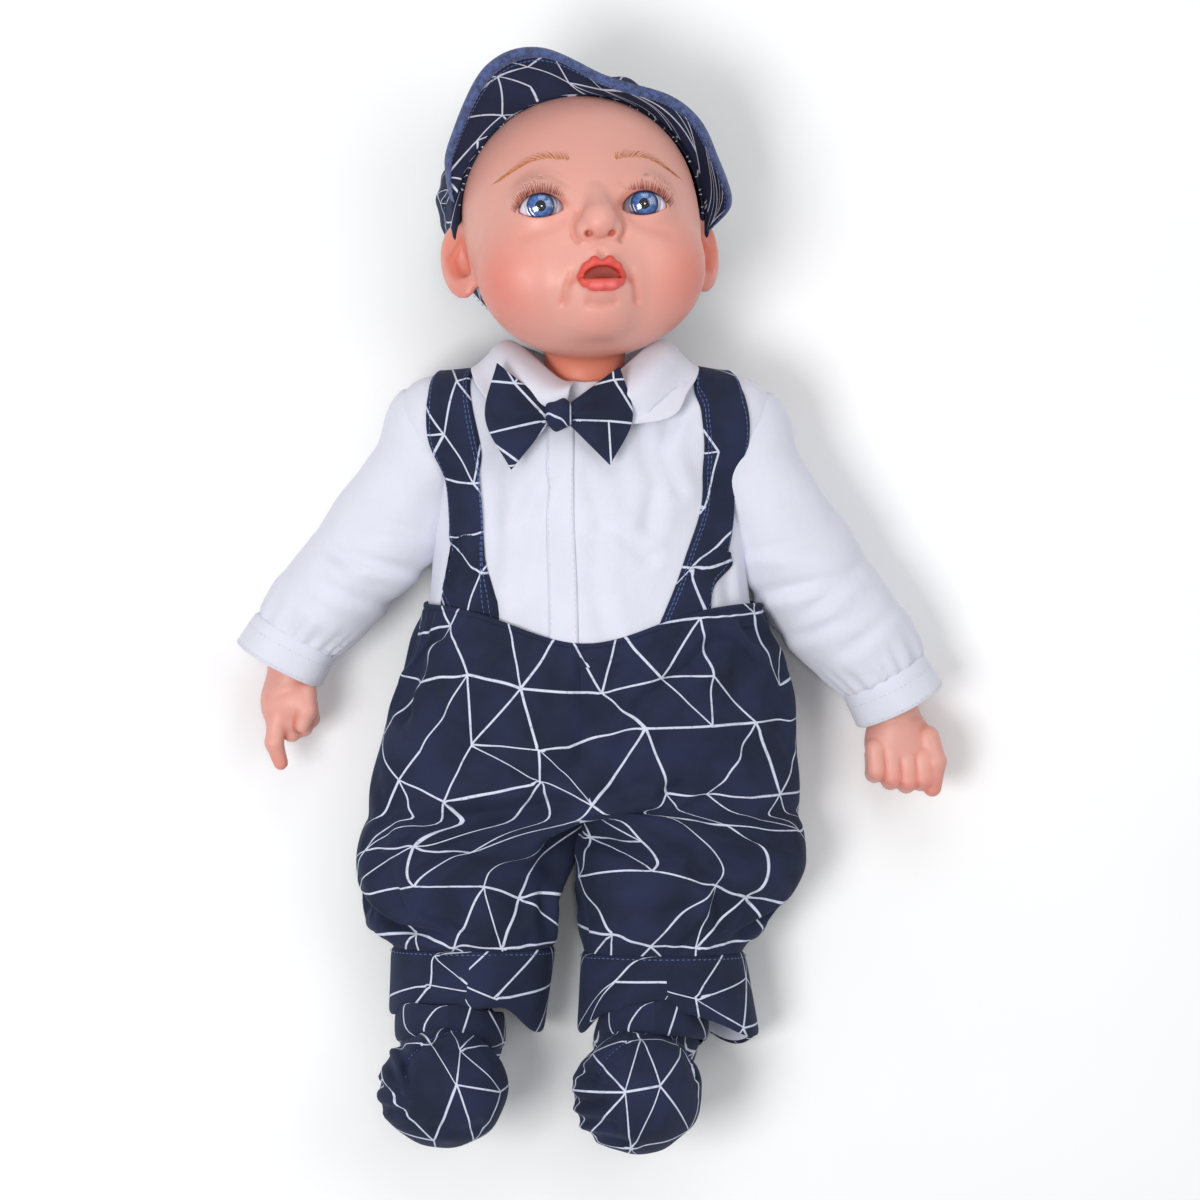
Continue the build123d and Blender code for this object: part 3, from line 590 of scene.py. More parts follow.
def head_colours(p):
    q = p.copy()
    q[:, 0] = np.abs(q[:, 0])
    colour = np.tile(SKIN_TONE, (len(p), 1))
    cheek = bell(np.linalg.norm((q - P(36, -28, 27)) / P(1, 1.1, 1.3), axis=1), 15)
    colour = blend_colour(colour, BLUSH, 0.7 * cheek)
    chin = bell(np.linalg.norm(q - P(0, -52, 36), axis=1), 10)
    colour = blend_colour(colour, BLUSH, 0.16 * chin)
    nose = bell(np.linalg.norm(q - P(0, -17, 60), axis=1), 7)
    colour = blend_colour(colour, BLUSH, 0.10 * nose)
    pale = bell(np.linalg.norm((q - P(0, -31, 50)) / P(1.6, 1, 1), axis=1), 9)
    colour = blend_colour(colour, linear(232, 180, 166), 0.35 * pale)
    front = step(q[:, 2], 15, 30)
    # Painted shade in the creases under the eyes, beside and under the mouth, at the mouth corners and round
    # the nose wings
    fold = front * (
        0.12 * groove(q, [(14, -9.5), (20, -12.0), (29, -14.0)], 2.8)
        + 0.3 * groove(q, [(11.6, -31.0), (13.4, -34.5), (14.6, -40)], 1.9)
        + 0.22 * groove(q, [(-5, -42.0), (0, -42.8), (5, -42.0)], 2.0)
        + 0.5 * groove(q, [(9.4, -33.6), (12.4, -34.4)], 1.3)
        + 0.26 * groove(q, [(8.2, -6.5), (10.4, -11.5), (10.2, -16.0), (8.6, -18.6)], 1.1)
    )
    colour = blend_colour(colour, linear(206, 112, 90), fold)
    # Painted shade in the nostrils
    nostril = limb(q, (4.9, -18.4, 56), (4.5, -16.0, 52.0), 1.9, 1.6)
    colour = blend_colour(colour, linear(204, 112, 90), 0.75 * step(-nostril, -1.0, 0.8))
    upper, lower = lips_field(q)
    lips = np.minimum(upper - 0.15, lower - 0.1)
    colour = blend_colour(colour, LIP, step(-lips, -0.65, 0.25) * front)
    # Painted highlight on the middle of the lower lip
    shine = np.exp(-(((q[:, 0] - 2.8) / 2.4) ** 2) - (((q[:, 1] + 38.6) / 1.1) ** 2)) * front
    colour = blend_colour(colour, LIP_HIGHLIGHT, 0.8 * shine)
    # Inside of the mouth: its own red colour, with painted shade in the upper part under the upper lip
    inside = step(-mouth_gap(q), -0.5, 0.6) * front
    mouth_shade_mask = step(q[:, 1], -34.6, -31.5)
    colour = blend_colour(colour, linear(214, 70, 44), inside)
    colour = blend_colour(colour, MOUTH_SHADE, inside * mouth_shade_mask)
    for side in ("left", "right"):
        u, w, t = eye_place(p, side)
        edge = lid_opening(p, side)
        near = (t > 0) * (np.hypot(u, w) < 19)
        above = step(w, LID_LOW - 0.5, LID_LOW + 3.0)
        colour = blend_colour(colour, LID_RED, near * above * (0.85 * step(-edge, -4.4, -0.9)))
        colour = blend_colour(colour, linear(74, 30, 34), near * above * step(-edge, -0.9, -0.1))
        colour = blend_colour(colour, linear(220, 140, 124), near * (1 - above) * 0.6 * step(-edge, -1.2, 0))
    # Painted shade in the ear hollows
    _, hollow = ear_fields(q)
    colour = blend_colour(colour, linear(214, 104, 78), 0.75 * step(-hollow, -1.6, 1.2))
    lobe = bell(np.linalg.norm(q - P(50, -20, -4), axis=1), 9)
    colour = blend_colour(colour, BLUSH, 0.4 * lobe)
    # Painted shade on the neck under the chin
    world = from_head(p)
    neck = step(-world[:, 1], -118, -106) * step(-np.abs(world[:, 2] - 52), -40, -20)
    return blend_colour(colour, linear(214, 116, 84), 0.7 * neck)


def make_head():
    def fine(p):
        return (np.abs(p[:, 0]) < 42) & (p[:, 1] > -52) & (p[:, 1] < 16) & (p[:, 2] > 22)

    head = field_piece("head_vinyl", head_field, (-65, -66, -56), (65, 66, 66), 1.15, fine)
    p = points_of(head)
    paint(head, head_colours(p))
    set_points(head, from_head(p))
    finish_piece(head, SKIN, "vinyl_skin", "head_shell", "eye_cups", body="head")


def make_eyeball(side):
    """A turned ball whose rings go round the gaze."""
    rings, sides = 60, 96
    vertices, uvs, faces = [], [], []
    for i in range(rings + 1):
        angle = math.pi * (i / rings) ** 1.25
        for j in range(sides + 1):
            turn = 2 * math.pi * j / sides
            flat = EYE_R - 0.55 * (1 - step(P(angle), 0.42, 0.55)[0])
            across = GAZE_X * math.cos(turn) + GAZE_Y * math.sin(turn)
            vertices.append(EYES[side] + flat * (math.cos(angle) * GAZE + math.sin(angle) * across))
            uvs.append((j / sides, angle * EYE_R))
    for i in range(rings):
        for j in range(sides):
            a = i * (sides + 1) + j
            faces.append((a, a + sides + 1, a + sides + 2, a + 1))
    eye = mesh_piece(f"{side}_eyeball", from_head(np.array(vertices)), faces, uvs)
    finish_piece(eye, EYE, "eye_plastic", f"{side}_eye", body="head")
    dome, dome_faces = [], []
    rings, sides = 10, 48
    for i in range(rings + 1):
        angle = 0.62 * i / rings
        lift = EYE_R + 0.15 + 0.9 * math.cos(angle / 0.62 * math.pi / 2)
        for j in range(sides):
            turn = 2 * math.pi * j / sides
            across = GAZE_X * math.cos(turn) + GAZE_Y * math.sin(turn)
            dome.append(EYES[side] + lift * (math.cos(angle) * GAZE + math.sin(angle) * across))
    for i in range(rings):
        for j in range(sides):
            a, b = i * sides + j, i * sides + (j + 1) % sides
            dome_faces.append((a, a + sides, b + sides, b))
    cornea = mesh_piece(f"{side}_cornea_dome", from_head(np.array(dome)), dome_faces)
    finish_piece(cornea, CLEAR, "clear_cornea", f"{side}_cornea", body="head")


def hair_strokes(name, paths, widths, material, lift=None):
    """Tapered three-sided hairs along paths of points."""
    vertices, faces = [], []
    for path, width in zip(paths, widths):
        path = np.asarray(path, float)
        for i, spot in enumerate(path):
            way = path[min(i + 1, len(path) - 1)] - path[max(i - 1, 0)]
            way /= np.linalg.norm(way)
            side = np.cross(way, P(0, 0, 1))
            side /= max(np.linalg.norm(side), 1e-6)
            up = np.cross(side, way)
            size = width * (1 - 0.9 * i / (len(path) - 1))
            base = len(vertices)
            vertices += [spot + size * side, spot + size * 0.8 * up, spot - size * side]
            if i:
                for k in range(3):
                    a, b = base - 3 + k, base - 3 + (k + 1) % 3
                    faces.append((a, b, b + 3, a + 3))
            if i == 0:
                faces.append((base + 2, base + 1, base))
            if i == len(path) - 1:
                faces.append((base, base + 1, base + 2))
    piece = mesh_piece(name, from_head(np.array(vertices)), faces)
    return finish_piece(piece, material, "vinyl_skin", body="head")


def make_brows():
    for side, sign in (("left", 1), ("right", -1)):
        paths, widths = [], []
        for i in range(46):
            s = (i + rng.uniform(-0.3, 0.3)) / 45
            s = min(max(s, 0), 1)
            x = 9.6 + 26.0 * s
            arch = math.sin(math.pi * min(s * 1.25, 1) * 0.62)
            y = 17.4 + 3.2 * arch - 6.6 * max(s - 0.35, 0) ** 1.4 * 1.5
            lean = math.radians(100 - 92 * min(s * 1.5, 1) - 30 * max(s - 0.5, 0))
            length = 4.0 + 1.8 * math.sin(math.pi * s)
            y += rng.uniform(-0.5, 0.5) * (1 - s)
            steps = np.linspace(0, 1, 6)
            curl = lean - 0.55 * steps * (1 - s)
            xs = x + np.cumsum(np.r_[0, np.cos(curl[1:])]) * length / 5
            ys = y + np.cumsum(np.r_[0, np.sin(curl[1:])]) * length / 5
            start = np.column_stack([sign * xs, ys, np.full(6, 72.0)])
            paths.append(drop(head_field, start, (0, 0, -1), 0.03))
            widths.append(rng.uniform(0.17, 0.26) * (1.0 - 0.3 * s))
        hair_strokes(f"{side}_brow", paths, widths, BROW)


def make_lashes():
    for side in ("left", "right"):
        paths, widths = [], []
        for i in range(34):
            s = (i + rng.uniform(-0.25, 0.25)) / 33
            angle = math.radians(168 - 156 * min(max(s, 0), 1))
            reach = LID_TOP_R + 0.25
            u = reach * math.cos(angle)
            w = (LID_LOW + LID_TOP - LID_TOP_R) + reach * math.sin(angle)
            t = math.sqrt(max((EYE_R + 1.1) ** 2 - u * u - w * w, 1))
            root = EYES[side] + u * GAZE_X + w * GAZE_Y + t * GAZE
            fan = math.radians(90 + (math.degrees(angle) - 90) * 0.62 + rng.uniform(-5, 5))
            out = math.cos(fan) * GAZE_X + math.sin(fan) * GAZE_Y
            length = rng.uniform(3.8, 5.4) * (0.75 + 0.25 * math.sin(angle))
            path = []
            for k in range(7):
                a = k / 6
                path.append(root + length * (a * out + (0.5 * a - 0.28 * a * a) * GAZE))
            paths.append(path)
            widths.append(rng.uniform(0.17, 0.22))
        hair_strokes(f"{side}_lashes", paths, widths, LASH)


make_head()
for eye_side in ("left", "right"):
    make_eyeball(eye_side)
make_brows()
make_lashes()


# ---------------------------------------------------------------- cloth materials

def weave_height(s, where, pitch):
    """Fine threads that go over and under, from -1 to 1."""
    split = s.split(where)
    across = s.math("SINE", s.times(split[0], 2 * math.pi / pitch))
    along = s.math("SINE", s.times(split[1], 2 * math.pi / pitch))
    return s.times(across, along)


def corner_shift(s, column, row):
    """A chance shift of one corner of the net, from -0.5 to 0.5 in both directions."""
    chance = s.chance(s.joined(column, row, 3.7), "Color")
    return s.node("ShaderNodeVectorMath", {0: chance, 1: (0.5, 0.5, 0.5)}, operation="SUBTRACT").outputs[0]


def net_shift(s, a, b):
    """The shift at one place of the net, straight between the three corners round it."""
    column, row = s.math("FLOOR", a), s.math("FLOOR", b)
    part_a, part_b = s.minus(a, column), s.minus(b, row)
    both = s.plus(part_a, part_b)
    far = s.math("GREATER_THAN", both, 1.0)
    near = s.minus(1.0, far)
    first = s.math("ABSOLUTE", s.minus(1.0, both))
    along = s.plus(s.times(part_a, near), s.times(s.minus(1.0, part_b), far))
    up = s.plus(s.times(part_b, near), s.times(s.minus(1.0, part_a), far))
    total = (0.0, 0.0, 0.0)
    corners = (
        (first, s.plus(column, far), s.plus(row, far)),
        (along, s.plus(column, 1.0), row),
        (up, column, s.plus(row, 1.0)),
    )
    for weight, corner_a, corner_b in corners:
        pull = s.scaled(corner_shift(s, corner_a, corner_b), weight)
        total = s.node("ShaderNodeVectorMath", {0: total, 1: pull}, operation="ADD").outputs[0]
    split = s.split(total)
    return split[0], split[1]


def print_lines(s, uv, edge, width, spread=0.62):
    """White lines of an uneven net of triangles with some of its edges left out. Lengths are millimetres."""
    height = edge * math.sqrt(3) / 2
    split = s.split(uv)
    row_place = s.math("DIVIDE", split[1], height)
    column_place = s.minus(s.math("DIVIDE", split[0], edge), s.times(row_place, 0.5))
    a, b = column_place, row_place
    for _ in range(3):
        shift_a, shift_b = net_shift(s, a, b)
        a = s.minus(column_place, s.times(shift_a, spread))
        b = s.minus(row_place, s.times(shift_b, spread))
    lines = 0.0
    for k, (across, along) in enumerate(((b, a), (a, b), (s.plus(a, b), a))):
        row = s.math("ROUND", across)
        chance = s.chance(s.joined(row, s.math("FLOOR", along), 7.3 * k + 1.7))
        shown = s.math("GREATER_THAN", chance, 0.24)
        away = s.times(s.math("ABSOLUTE", s.minus(across, row)), height)
        line = s.times(shown, s.spread(away, width / 2 - 0.1, width / 2 + 0.14, 1.0, 0.0))
        lines = s.math("MAXIMUM", lines, line)
    return lines


def print_material(name="navy_print", edge=26.0, width=0.8):
    """Navy cotton printed with fine white crossing lines. UVs are millimetres."""
    s = Shader(name, Roughness=0.85, Sheen_Weight=0.06, Sheen_Roughness=0.5, IOR=1.35)
    s.base.inputs["Sheen Tint"].default_value = (0.5, 0.62, 1.0, 1)
    uv = s.place("UV")
    lines = print_lines(s, uv, edge, width)
    blotch = s.noise(s.scaled(uv, 0.05), 1.0, 3)
    navy = s.mix(s.spread(blotch, 0.3, 0.7), linear(20, 25, 42), linear(32, 38, 66))
    thread = weave_height(s, uv, 0.55)
    navy = s.mix(s.spread(thread, -1, 1, 0, 0.18), navy, linear(62, 72, 108))
    broken = s.noise(s.scaled(uv, 0.6), 1.0, 2)
    ink = s.times(lines, s.spread(broken, 0.25, 0.5, 0.62, 0.95))
    colour = s.mix(ink, navy, linear(214, 220, 238))
    lumps = s.noise(s.scaled(uv, 0.25), 1.0, 2)
    relief = s.bump(lumps, 0.0006, 0.25)
    return s.finish(Base_Color=colour, Normal=s.bump(thread, 0.00006, 0.6, relief))


def white_material(name, colour, pitch=0.6):
    s = Shader(
        name,
        Roughness=0.88,
        Sheen_Weight=0.2,
        Sheen_Roughness=0.6,
        IOR=1.4,
        Subsurface_Weight=0.05,
        Subsurface_Scale=0.002,
    )
    where = s.scaled(s.place(), 1000.0)
    blotch = s.noise(where, 0.06, 3)
    tint = s.mix(s.spread(blotch, 0.3, 0.7), colour, tuple(c * 0.965 for c in colour))
    split = s.split(where)
    rib = s.math("SINE", s.times(split[0], 2 * math.pi / pitch))
    fuzz = s.noise(where, 1.6, 2)
    crumple = s.noise(where, 0.16, 3, 0.55)
    height = s.plus(s.times(rib, 0.3), s.times(fuzz, 0.7))
    relief = s.bump(crumple, 0.0012, 0.22)
    return s.finish(Base_Color=tint, Normal=s.bump(height, 0.00007, 0.6, relief))


def thread_material(name, colour):
    s = Shader(name, Roughness=0.6, Sheen_Weight=0.3)
    twist = s.noise(s.place(), 1500, 2)
    return s.finish(
        Base_Color=s.mix(s.spread(twist, 0.3, 0.7), colour, tuple(c * 0.6 for c in colour)),
        Normal=s.bump(twist, 0.0001, 0.6),
    )


NAVY = print_material()
NAVY_SMALL = print_material("navy_print_fine", 19.0, 0.75)
WHITE = white_material("white_cotton", linear(217, 218, 230))
LINING = white_material("white_lining", linear(212, 215, 231), 0.9)
NAVY_THREAD = thread_material("blue_thread", linear(78, 108, 168))
WHITE_THREAD = thread_material("white_thread", linear(226, 227, 238))


# ---------------------------------------------------------------- cloth meshes

def grid_faces(rows, columns, base=0, turned=False):
    """Quads of a grid whose first vertex is number base."""
    faces = []
    for i in range(rows - 1):
        for j in range(columns - 1):
            a = base + i * columns + j
            quad = (a, a + 1, a + columns + 1, a + columns)
            faces.append(quad[::-1] if turned else quad)
    return faces


def patch_piece(name, patches):
    """One mesh from grids of points with UVs; edges that meet are sewn together."""
    vertices, uvs, faces = [], [], []
    for points, uv, turned in patches:
        faces += grid_faces(*points.shape[:2], len(vertices), turned)
        vertices += list(points.reshape(-1, 3))
        uvs += list(uv.reshape(-1, 2))
    piece = mesh_piece(name, np.array(vertices), faces, np.array(uvs))
    weld(piece)
    return piece


def weld(piece, distance=0.02):
    bm = bmesh.new()
    bm.from_mesh(piece.data)
    bmesh.ops.remove_doubles(bm, verts=bm.verts, dist=distance * MM)
    bmesh.ops.dissolve_degenerate(bm, edges=bm.edges, dist=0.002 * MM)
    bm.to_mesh(piece.data)
    bm.free()


def arc_lengths(points):
    """Running length along each row of a grid."""
    steps = np.linalg.norm(np.diff(points, axis=1), axis=2)
    return np.concatenate([np.zeros((len(points), 1)), np.cumsum(steps, axis=1)], axis=1)


def modify(piece, kind, **settings):
    modifier = piece.modifiers.new(kind.lower(), kind)
    for key, value in settings.items():
        setattr(modifier, key, value)
    return modifier


def soften(piece):
    """Rounds the mesh by halving its faces once."""
    modify(piece, "SUBSURF", levels=1)
    return bake(piece)


def bake(piece):
    """Applies every modifier to the mesh."""
    graph = bpy.context.evaluated_depsgraph_get()
    mesh = bpy.data.meshes.new_from_object(piece.evaluated_get(graph))
    piece.modifiers.clear()
    old = piece.data
    piece.data = mesh
    mesh.name = piece.name
    bpy.data.meshes.remove(old)
    mesh.polygons.foreach_set("use_smooth", [True] * len(mesh.polygons))
    return piece


SIM_SCALE = 10.0  # cloth is worked out ten times larger, where the solver is steadier


def drape(piece, hold, grow=0.06, pressure=0.0, frames=24, cap=9.0, bending=0.4, floor=0.4):
    """Lets cloth with a little too much length buckle into folds between its held edges."""
    start = points_of(piece)
    set_points(piece, start * SIM_SCALE)
    group = piece.vertex_groups.new(name="hold")
    for i, weight in enumerate(hold):
        if weight > 0:
            group.add([i], float(weight), "REPLACE")
    ground = flat_square("sim_ground", SIM_SCALE * 400, SIM_SCALE * floor)
    ground.modifiers.new("collision", "COLLISION")
    cloth = piece.modifiers.new("cloth", "CLOTH")
    s = cloth.settings
    s.quality = 6
    s.mass = 0.25
    s.air_damping = 2.0
    s.tension_stiffness = s.compression_stiffness = 18
    s.shear_stiffness = 6
    s.bending_stiffness = bending
    s.vertex_group_mass = "hold"
    s.shrink_min = -grow
    s.shrink_max = -grow
    s.effector_weights.gravity = 0.12
    if pressure:
        s.use_pressure = True
        s.uniform_pressure_force = pressure
    cloth.collision_settings.use_collision = True
    cloth.collision_settings.distance_min = 0.004
    cloth.collision_settings.use_self_collision = False
    cloth.point_cache.frame_start = 1
    cloth.point_cache.frame_end = frames
    scene = bpy.context.scene
    for number in range(1, frames + 1):
        scene.frame_set(number)
    graph = bpy.context.evaluated_depsgraph_get()
    held = piece.evaluated_get(graph).to_mesh()
    out = np.empty(len(held.vertices) * 3)
    held.vertices.foreach_get("co", out)
    piece.evaluated_get(graph).to_mesh_clear()
    piece.modifiers.clear()
    piece.vertex_groups.clear()
    bpy.data.objects.remove(ground)
    scene.frame_set(1)
    end = out.reshape(-1, 3) / MM / SIM_SCALE
    move = end - start
    far = np.linalg.norm(move, axis=1, keepdims=True)
    move *= np.minimum(1, cap / np.maximum(far, 1e-6))
    set_points(piece, start + move)
    return piece


def smooth_points(piece, rounds, strength=0.5, keep=None):
    """Evens out a mesh a little."""
    p = points_of(piece)
    edges = np.empty(len(piece.data.edges) * 2, int)
    piece.data.edges.foreach_get("vertices", edges)
    a, b = edges[0::2], edges[1::2]
    degree = np.bincount(edges, minlength=len(p))[:, None]
    for _ in range(rounds):
        total = np.zeros_like(p)
        for axis in range(3):
            total[:, axis] = np.bincount(a, p[b, axis], len(p)) + np.bincount(b, p[a, axis], len(p))
        target = total / np.maximum(degree, 1)
        amount = strength if keep is None else strength * (1 - keep[:, None])
        p = p + (target - p) * amount
    set_points(piece, p)


def table(x, rows):
    """Reads columns of a small table at x, smoothly."""
    rows = np.array(rows, float)
    order = np.argsort(rows[:, 0])
    rows = rows[order]
    x = np.clip(x, rows[0, 0], rows[-1, 0])
    i = np.clip(np.searchsorted(rows[:, 0], x) - 1, 0, len(rows) - 2)
    low, high = rows[i], rows[i + 1]
    slopes = np.gradient(rows[:, 1:], rows[:, 0], axis=0)
    h = (high[:, 0] - low[:, 0])[:, None]
    t = ((x - low[:, 0]) / h[:, 0])[:, None]
    m0, m1 = slopes[i] * h, slopes[i + 1] * h
    a, b = low[:, 1:], high[:, 1:]
    ends = (2 * t**3 - 3 * t**2 + 1) * a + (t**3 - 2 * t**2 + t) * m0
    return ends + (-2 * t**3 + 3 * t**2) * b + (t**3 - t**2) * m1


def ripple(p, scale, seed):
    """Smooth unevenness between about -1 and 1."""
    r = np.random.default_rng(seed)
    total = 0
    for _ in range(7):
        way = r.normal(size=3)
        way /= np.linalg.norm(way)
        total = total + np.sin(p @ way * (2 * math.pi / (scale * r.uniform(0.7, 1.5))) + r.uniform(0, 6.3))
    return total / 3.2


def spline(points, count):
    """Points evenly along a smooth line through the given ones."""
    points = np.array(points, float)
    s = np.r_[0, np.cumsum(np.linalg.norm(np.diff(points, axis=0), axis=1))]
    return table(np.linspace(0, s[-1], count), np.column_stack([s, points]))


def ribbon(name, field, inner, outer, count, across, thick, level, edge_up=0.0, uv_shift=(0, 0)):
    """A flat band laid on a surface between two edge lines, with rounded edges."""
    first, second = spline(inner, count), spline(outer, count)
    s = np.linspace(0, 1, across)[None, :, None]
    middle = first[:, None] * (1 - s) + second[:, None] * s
    laid = settle(field, middle.reshape(-1, 3), 4, level).reshape(middle.shape)
    normal = slope(field, laid.reshape(-1, 3)).reshape(laid.shape)
    normal = unit(normal)
    t = np.linspace(-1, 1, across)
    top = laid + normal * (thick * (1 - 0.55 * t**10) + edge_up * bell(np.abs(t) - 0.86, 0.1))[None, :, None]
    along = np.r_[0, np.cumsum(np.linalg.norm(np.diff(middle[:, across // 2], axis=0), axis=1))]
    over = arc_lengths(top)
    over = over - over[:, across // 2][:, None]
    uv = np.dstack([over, np.repeat(along[:, None], across, axis=1)]) + P(*uv_shift)
    bottom = laid - 0.4 * normal
    ring = [
        (top, uv, False),
        (bottom, uv, True),
        (np.stack([bottom[:, 0], top[:, 0]], axis=1), np.stack([uv[:, 0], uv[:, 0]], axis=1), False),
        (np.stack([top[:, -1], bottom[:, -1]], axis=1), np.stack([uv[:, -1], uv[:, -1]], axis=1), False),
        (np.stack([bottom[0], top[0]], axis=0), np.stack([uv[0], uv[0]], axis=0), True),
        (np.stack([top[-1], bottom[-1]], axis=0), np.stack([uv[-1], uv[-1]], axis=0), True),
    ]
    return patch_piece(name, ring), top, normal


def stitches(name, lines, material, slot, body, length=2.2, gap=1.1, size=0.28, lift=0.12):
    """Short raised threads along lines of (points, normals)."""
    vertices, faces = [], []
    for points, normals in lines:
        points, normals = np.asarray(points), np.asarray(normals)
        s = np.r_[0, np.cumsum(np.linalg.norm(np.diff(points, axis=0), axis=1))]
        at = 0.4
        while at + length < s[-1]:
            spots = np.linspace(at, at + length, 4)
            line = np.column_stack([np.interp(spots, s, points[:, k]) for k in range(3)])
            up = np.array([np.interp(at, s, normals[:, k]) for k in range(3)])
            up /= np.linalg.norm(up)
            way = line[-1] - line[0]
            side = np.cross(way, up)
            side /= max(np.linalg.norm(side), 1e-6)
            for i in range(4):
                rise = lift + size * (0.9 if i in (1, 2) else -0.2)
                base = len(vertices)
                vertices += [line[i] - side * size, line[i] + up * rise, line[i] + side * size]
                if i:
                    for k in range(2):
                        faces.append((base - 3 + k, base - 2 + k, base + k + 1, base + k))
            at += length + gap
    piece = mesh_piece(name, np.array(vertices), faces)
    return finish_piece(piece, material, slot, body=body)


# ---------------------------------------------------------------- shirt

JOINTS = {joint["name"]: joint for joint in frame["joints"]}


def pivot(joint):
    return P(*JOINTS[joint]["pos_m"]) / MM


# Outline of the shirt as (y, middle x, middle z, half width, half depth)
SHIRT_TABLE = [
    (-20, 2, 36, 70, 34.5),
    (0, 2, 36, 69, 34.5),
    (20, 2, 36, 67, 34.5),
    (45, 2, 37, 65, 34),
    (65, 1, 38, 64, 32.5),
    (80, 0, 40, 62, 29.5),
    (92, 0, 42, 58, 26),
    (102, 0, 44, 50, 20),
    (110, 0, 46, 36, 14),
]
# Folds on the front as (points, half width, depth)
SHIRT_FOLDS = [
    ([(-14, 62), (-26, 40), (-30, 12)], 4.0, 1.0),
    ([(-32, 78), (-38, 60), (-36, 30), (-40, 2)], 4.5, 1.3),
    ([(2, 62), (6, 40), (4, 14), (10, -8)], 4.0, 0.9),
    ([(24, 74), (30, 56), (26, 38)], 4.0, 1.3),
    ([(46, 96), (36, 86), (32, 70), (38, 54)], 3.4, 1.2),
    ([(8, 40), (18, 34), (26, 26)], 3.4, 0.9),
    ([(-52, 30), (-56, 12), (-60, -6)], 3.0, 1.0),
    ([(58, 24), (60, 8), (64, -8)], 3.0, 1.0),
]


def shirt_field(p):
    t = table(p[:, 1], SHIRT_TABLE)
    flat = np.hypot((p[:, 0] - t[:, 0]) / t[:, 2], (p[:, 2] - t[:, 1]) / t[:, 3])
    d = (flat - 1) * np.minimum(t[:, 2], t[:, 3]) * 0.9
    for sign in (-1, 1):
        d = smin(d, limb(p, (sign * 34, 88, 46), (sign * 60, 84, 40), 17, 19), 12)
    d = smax(d, p[:, 1] - 106, 9)
    front = step(p[:, 2], 40, 56)
    for points, width, depth in SHIRT_FOLDS:
        d = d + front * depth * crease(p, points, width, 0.5, 1.7)
    d = d - 0.35 * ripple(p * P(1, 0.55, 1), 26, 3)
    d = smax(d, 1.2 - p[:, 2], 3)
    d = smax(d, -14 - p[:, 1], 2)
    neck = np.hypot(p[:, 0], (p[:, 2] - 50)) - 19
    return smax(d, -smax(neck, 84 - p[:, 1], 3), 2)


def make_shirt():
    shirt = field_piece("shirt_torso", shirt_field, (-92, -17, -2), (92, 112, 80), 2.0)
    finish_piece(shirt, WHITE, "shirt_cloth", "shirt_body", "torso_skin", "torso_filling", body="torso")
    inner = [(-4.4, 80, 70), (-4.4, 66, 72), (-4.4, 40, 72), (-3.2, 14, 72), (-2.6, -12, 72)]
    outer = [(-15.6, 80, 70), (-15.6, 66, 72), (-15.8, 40, 72), (-15.2, 14, 72), (-15.0, -12, 72)]
    flap, top, normal = ribbon("shirt_placket_flap", shirt_field, inner, outer, 50, 13, 0.8, 0.2)
    finish_piece(flap, WHITE, "shirt_cloth", "shirt_placket", body="torso")
    rows = [(top[:, k], normal[:, k]) for k in (1, 11)]
    stitches("placket_stitches", rows, WHITE_THREAD, "shirt_cloth", "torso", 1.8, 0.9, 0.16, 0.02)
    inner = [(-9, 84, 8), (-9, 40, 2), (-9, -6, 1)]
    outer = [(9, 84, 8), (9, 40, 2), (9, -6, 1)]
    tape, top, normal = ribbon("back_opening_tape", shirt_field, inner, outer, 50, 13, 0.9, 0.1)
    finish_piece(tape, LINING, "fastener_tape", "back_fastener", body="torso")
    rows = [(top[:, k], normal[:, k]) for k in (1, 11)]
    stitches("back_stitches", rows, WHITE_THREAD, "shirt_cloth", "torso", 1.8, 0.9, 0.16, 0.02)


def make_suspenders():
    sides = {
        "right": (
            [
                (-37, -14, 70), (-42, 41, 70), (-45.5, 78, 68), (-47, 100, 58), (-42, 107, 42),
                (-38, 98, 20), (-32, 60, 4), (-26, -8, 2),
            ],
            [
                (-58, -12, 66), (-62, 41, 62), (-65, 76, 58), (-63, 99, 50), (-60, 105, 38), (-56, 94, 20),
                (-50, 60, 6), (-46, -8, 3),
            ],
            (120, 40),
        ),
        "left": (
            [
                (26, -14, 70), (42.5, 24, 70), (51.5, 50, 66), (49, 80, 64), (43, 101, 56), (40, 107, 42),
                (38, 98, 20), (32, 60, 4), (26, -8, 2),
            ],
            [
                (46, -12, 68), (61, 24, 62), (68, 54, 56), (66, 82, 54), (62, 98, 48), (60, 104, 38),
                (56, 94, 20), (50, 60, 6), (46, -8, 3),
            ],
            (-90, 75),
        ),
    }
    for side, (inner, outer, shift) in sides.items():
        strap, top, normal = ribbon(
            f"{side}_strap", shirt_field, inner, outer, 150, 15, 1.5, 0.3, 0.25, shift
        )
        finish_piece(strap, NAVY, "navy_print", f"{side}_suspender", body="torso")
        rows = [(top[:, k], normal[:, k]) for k in (1, 2, 13)]
        stitches(f"{side}_strap_stitches", rows, NAVY_THREAD, "navy_print", "torso", 1.5, 0.7, 0.17, 0.03)


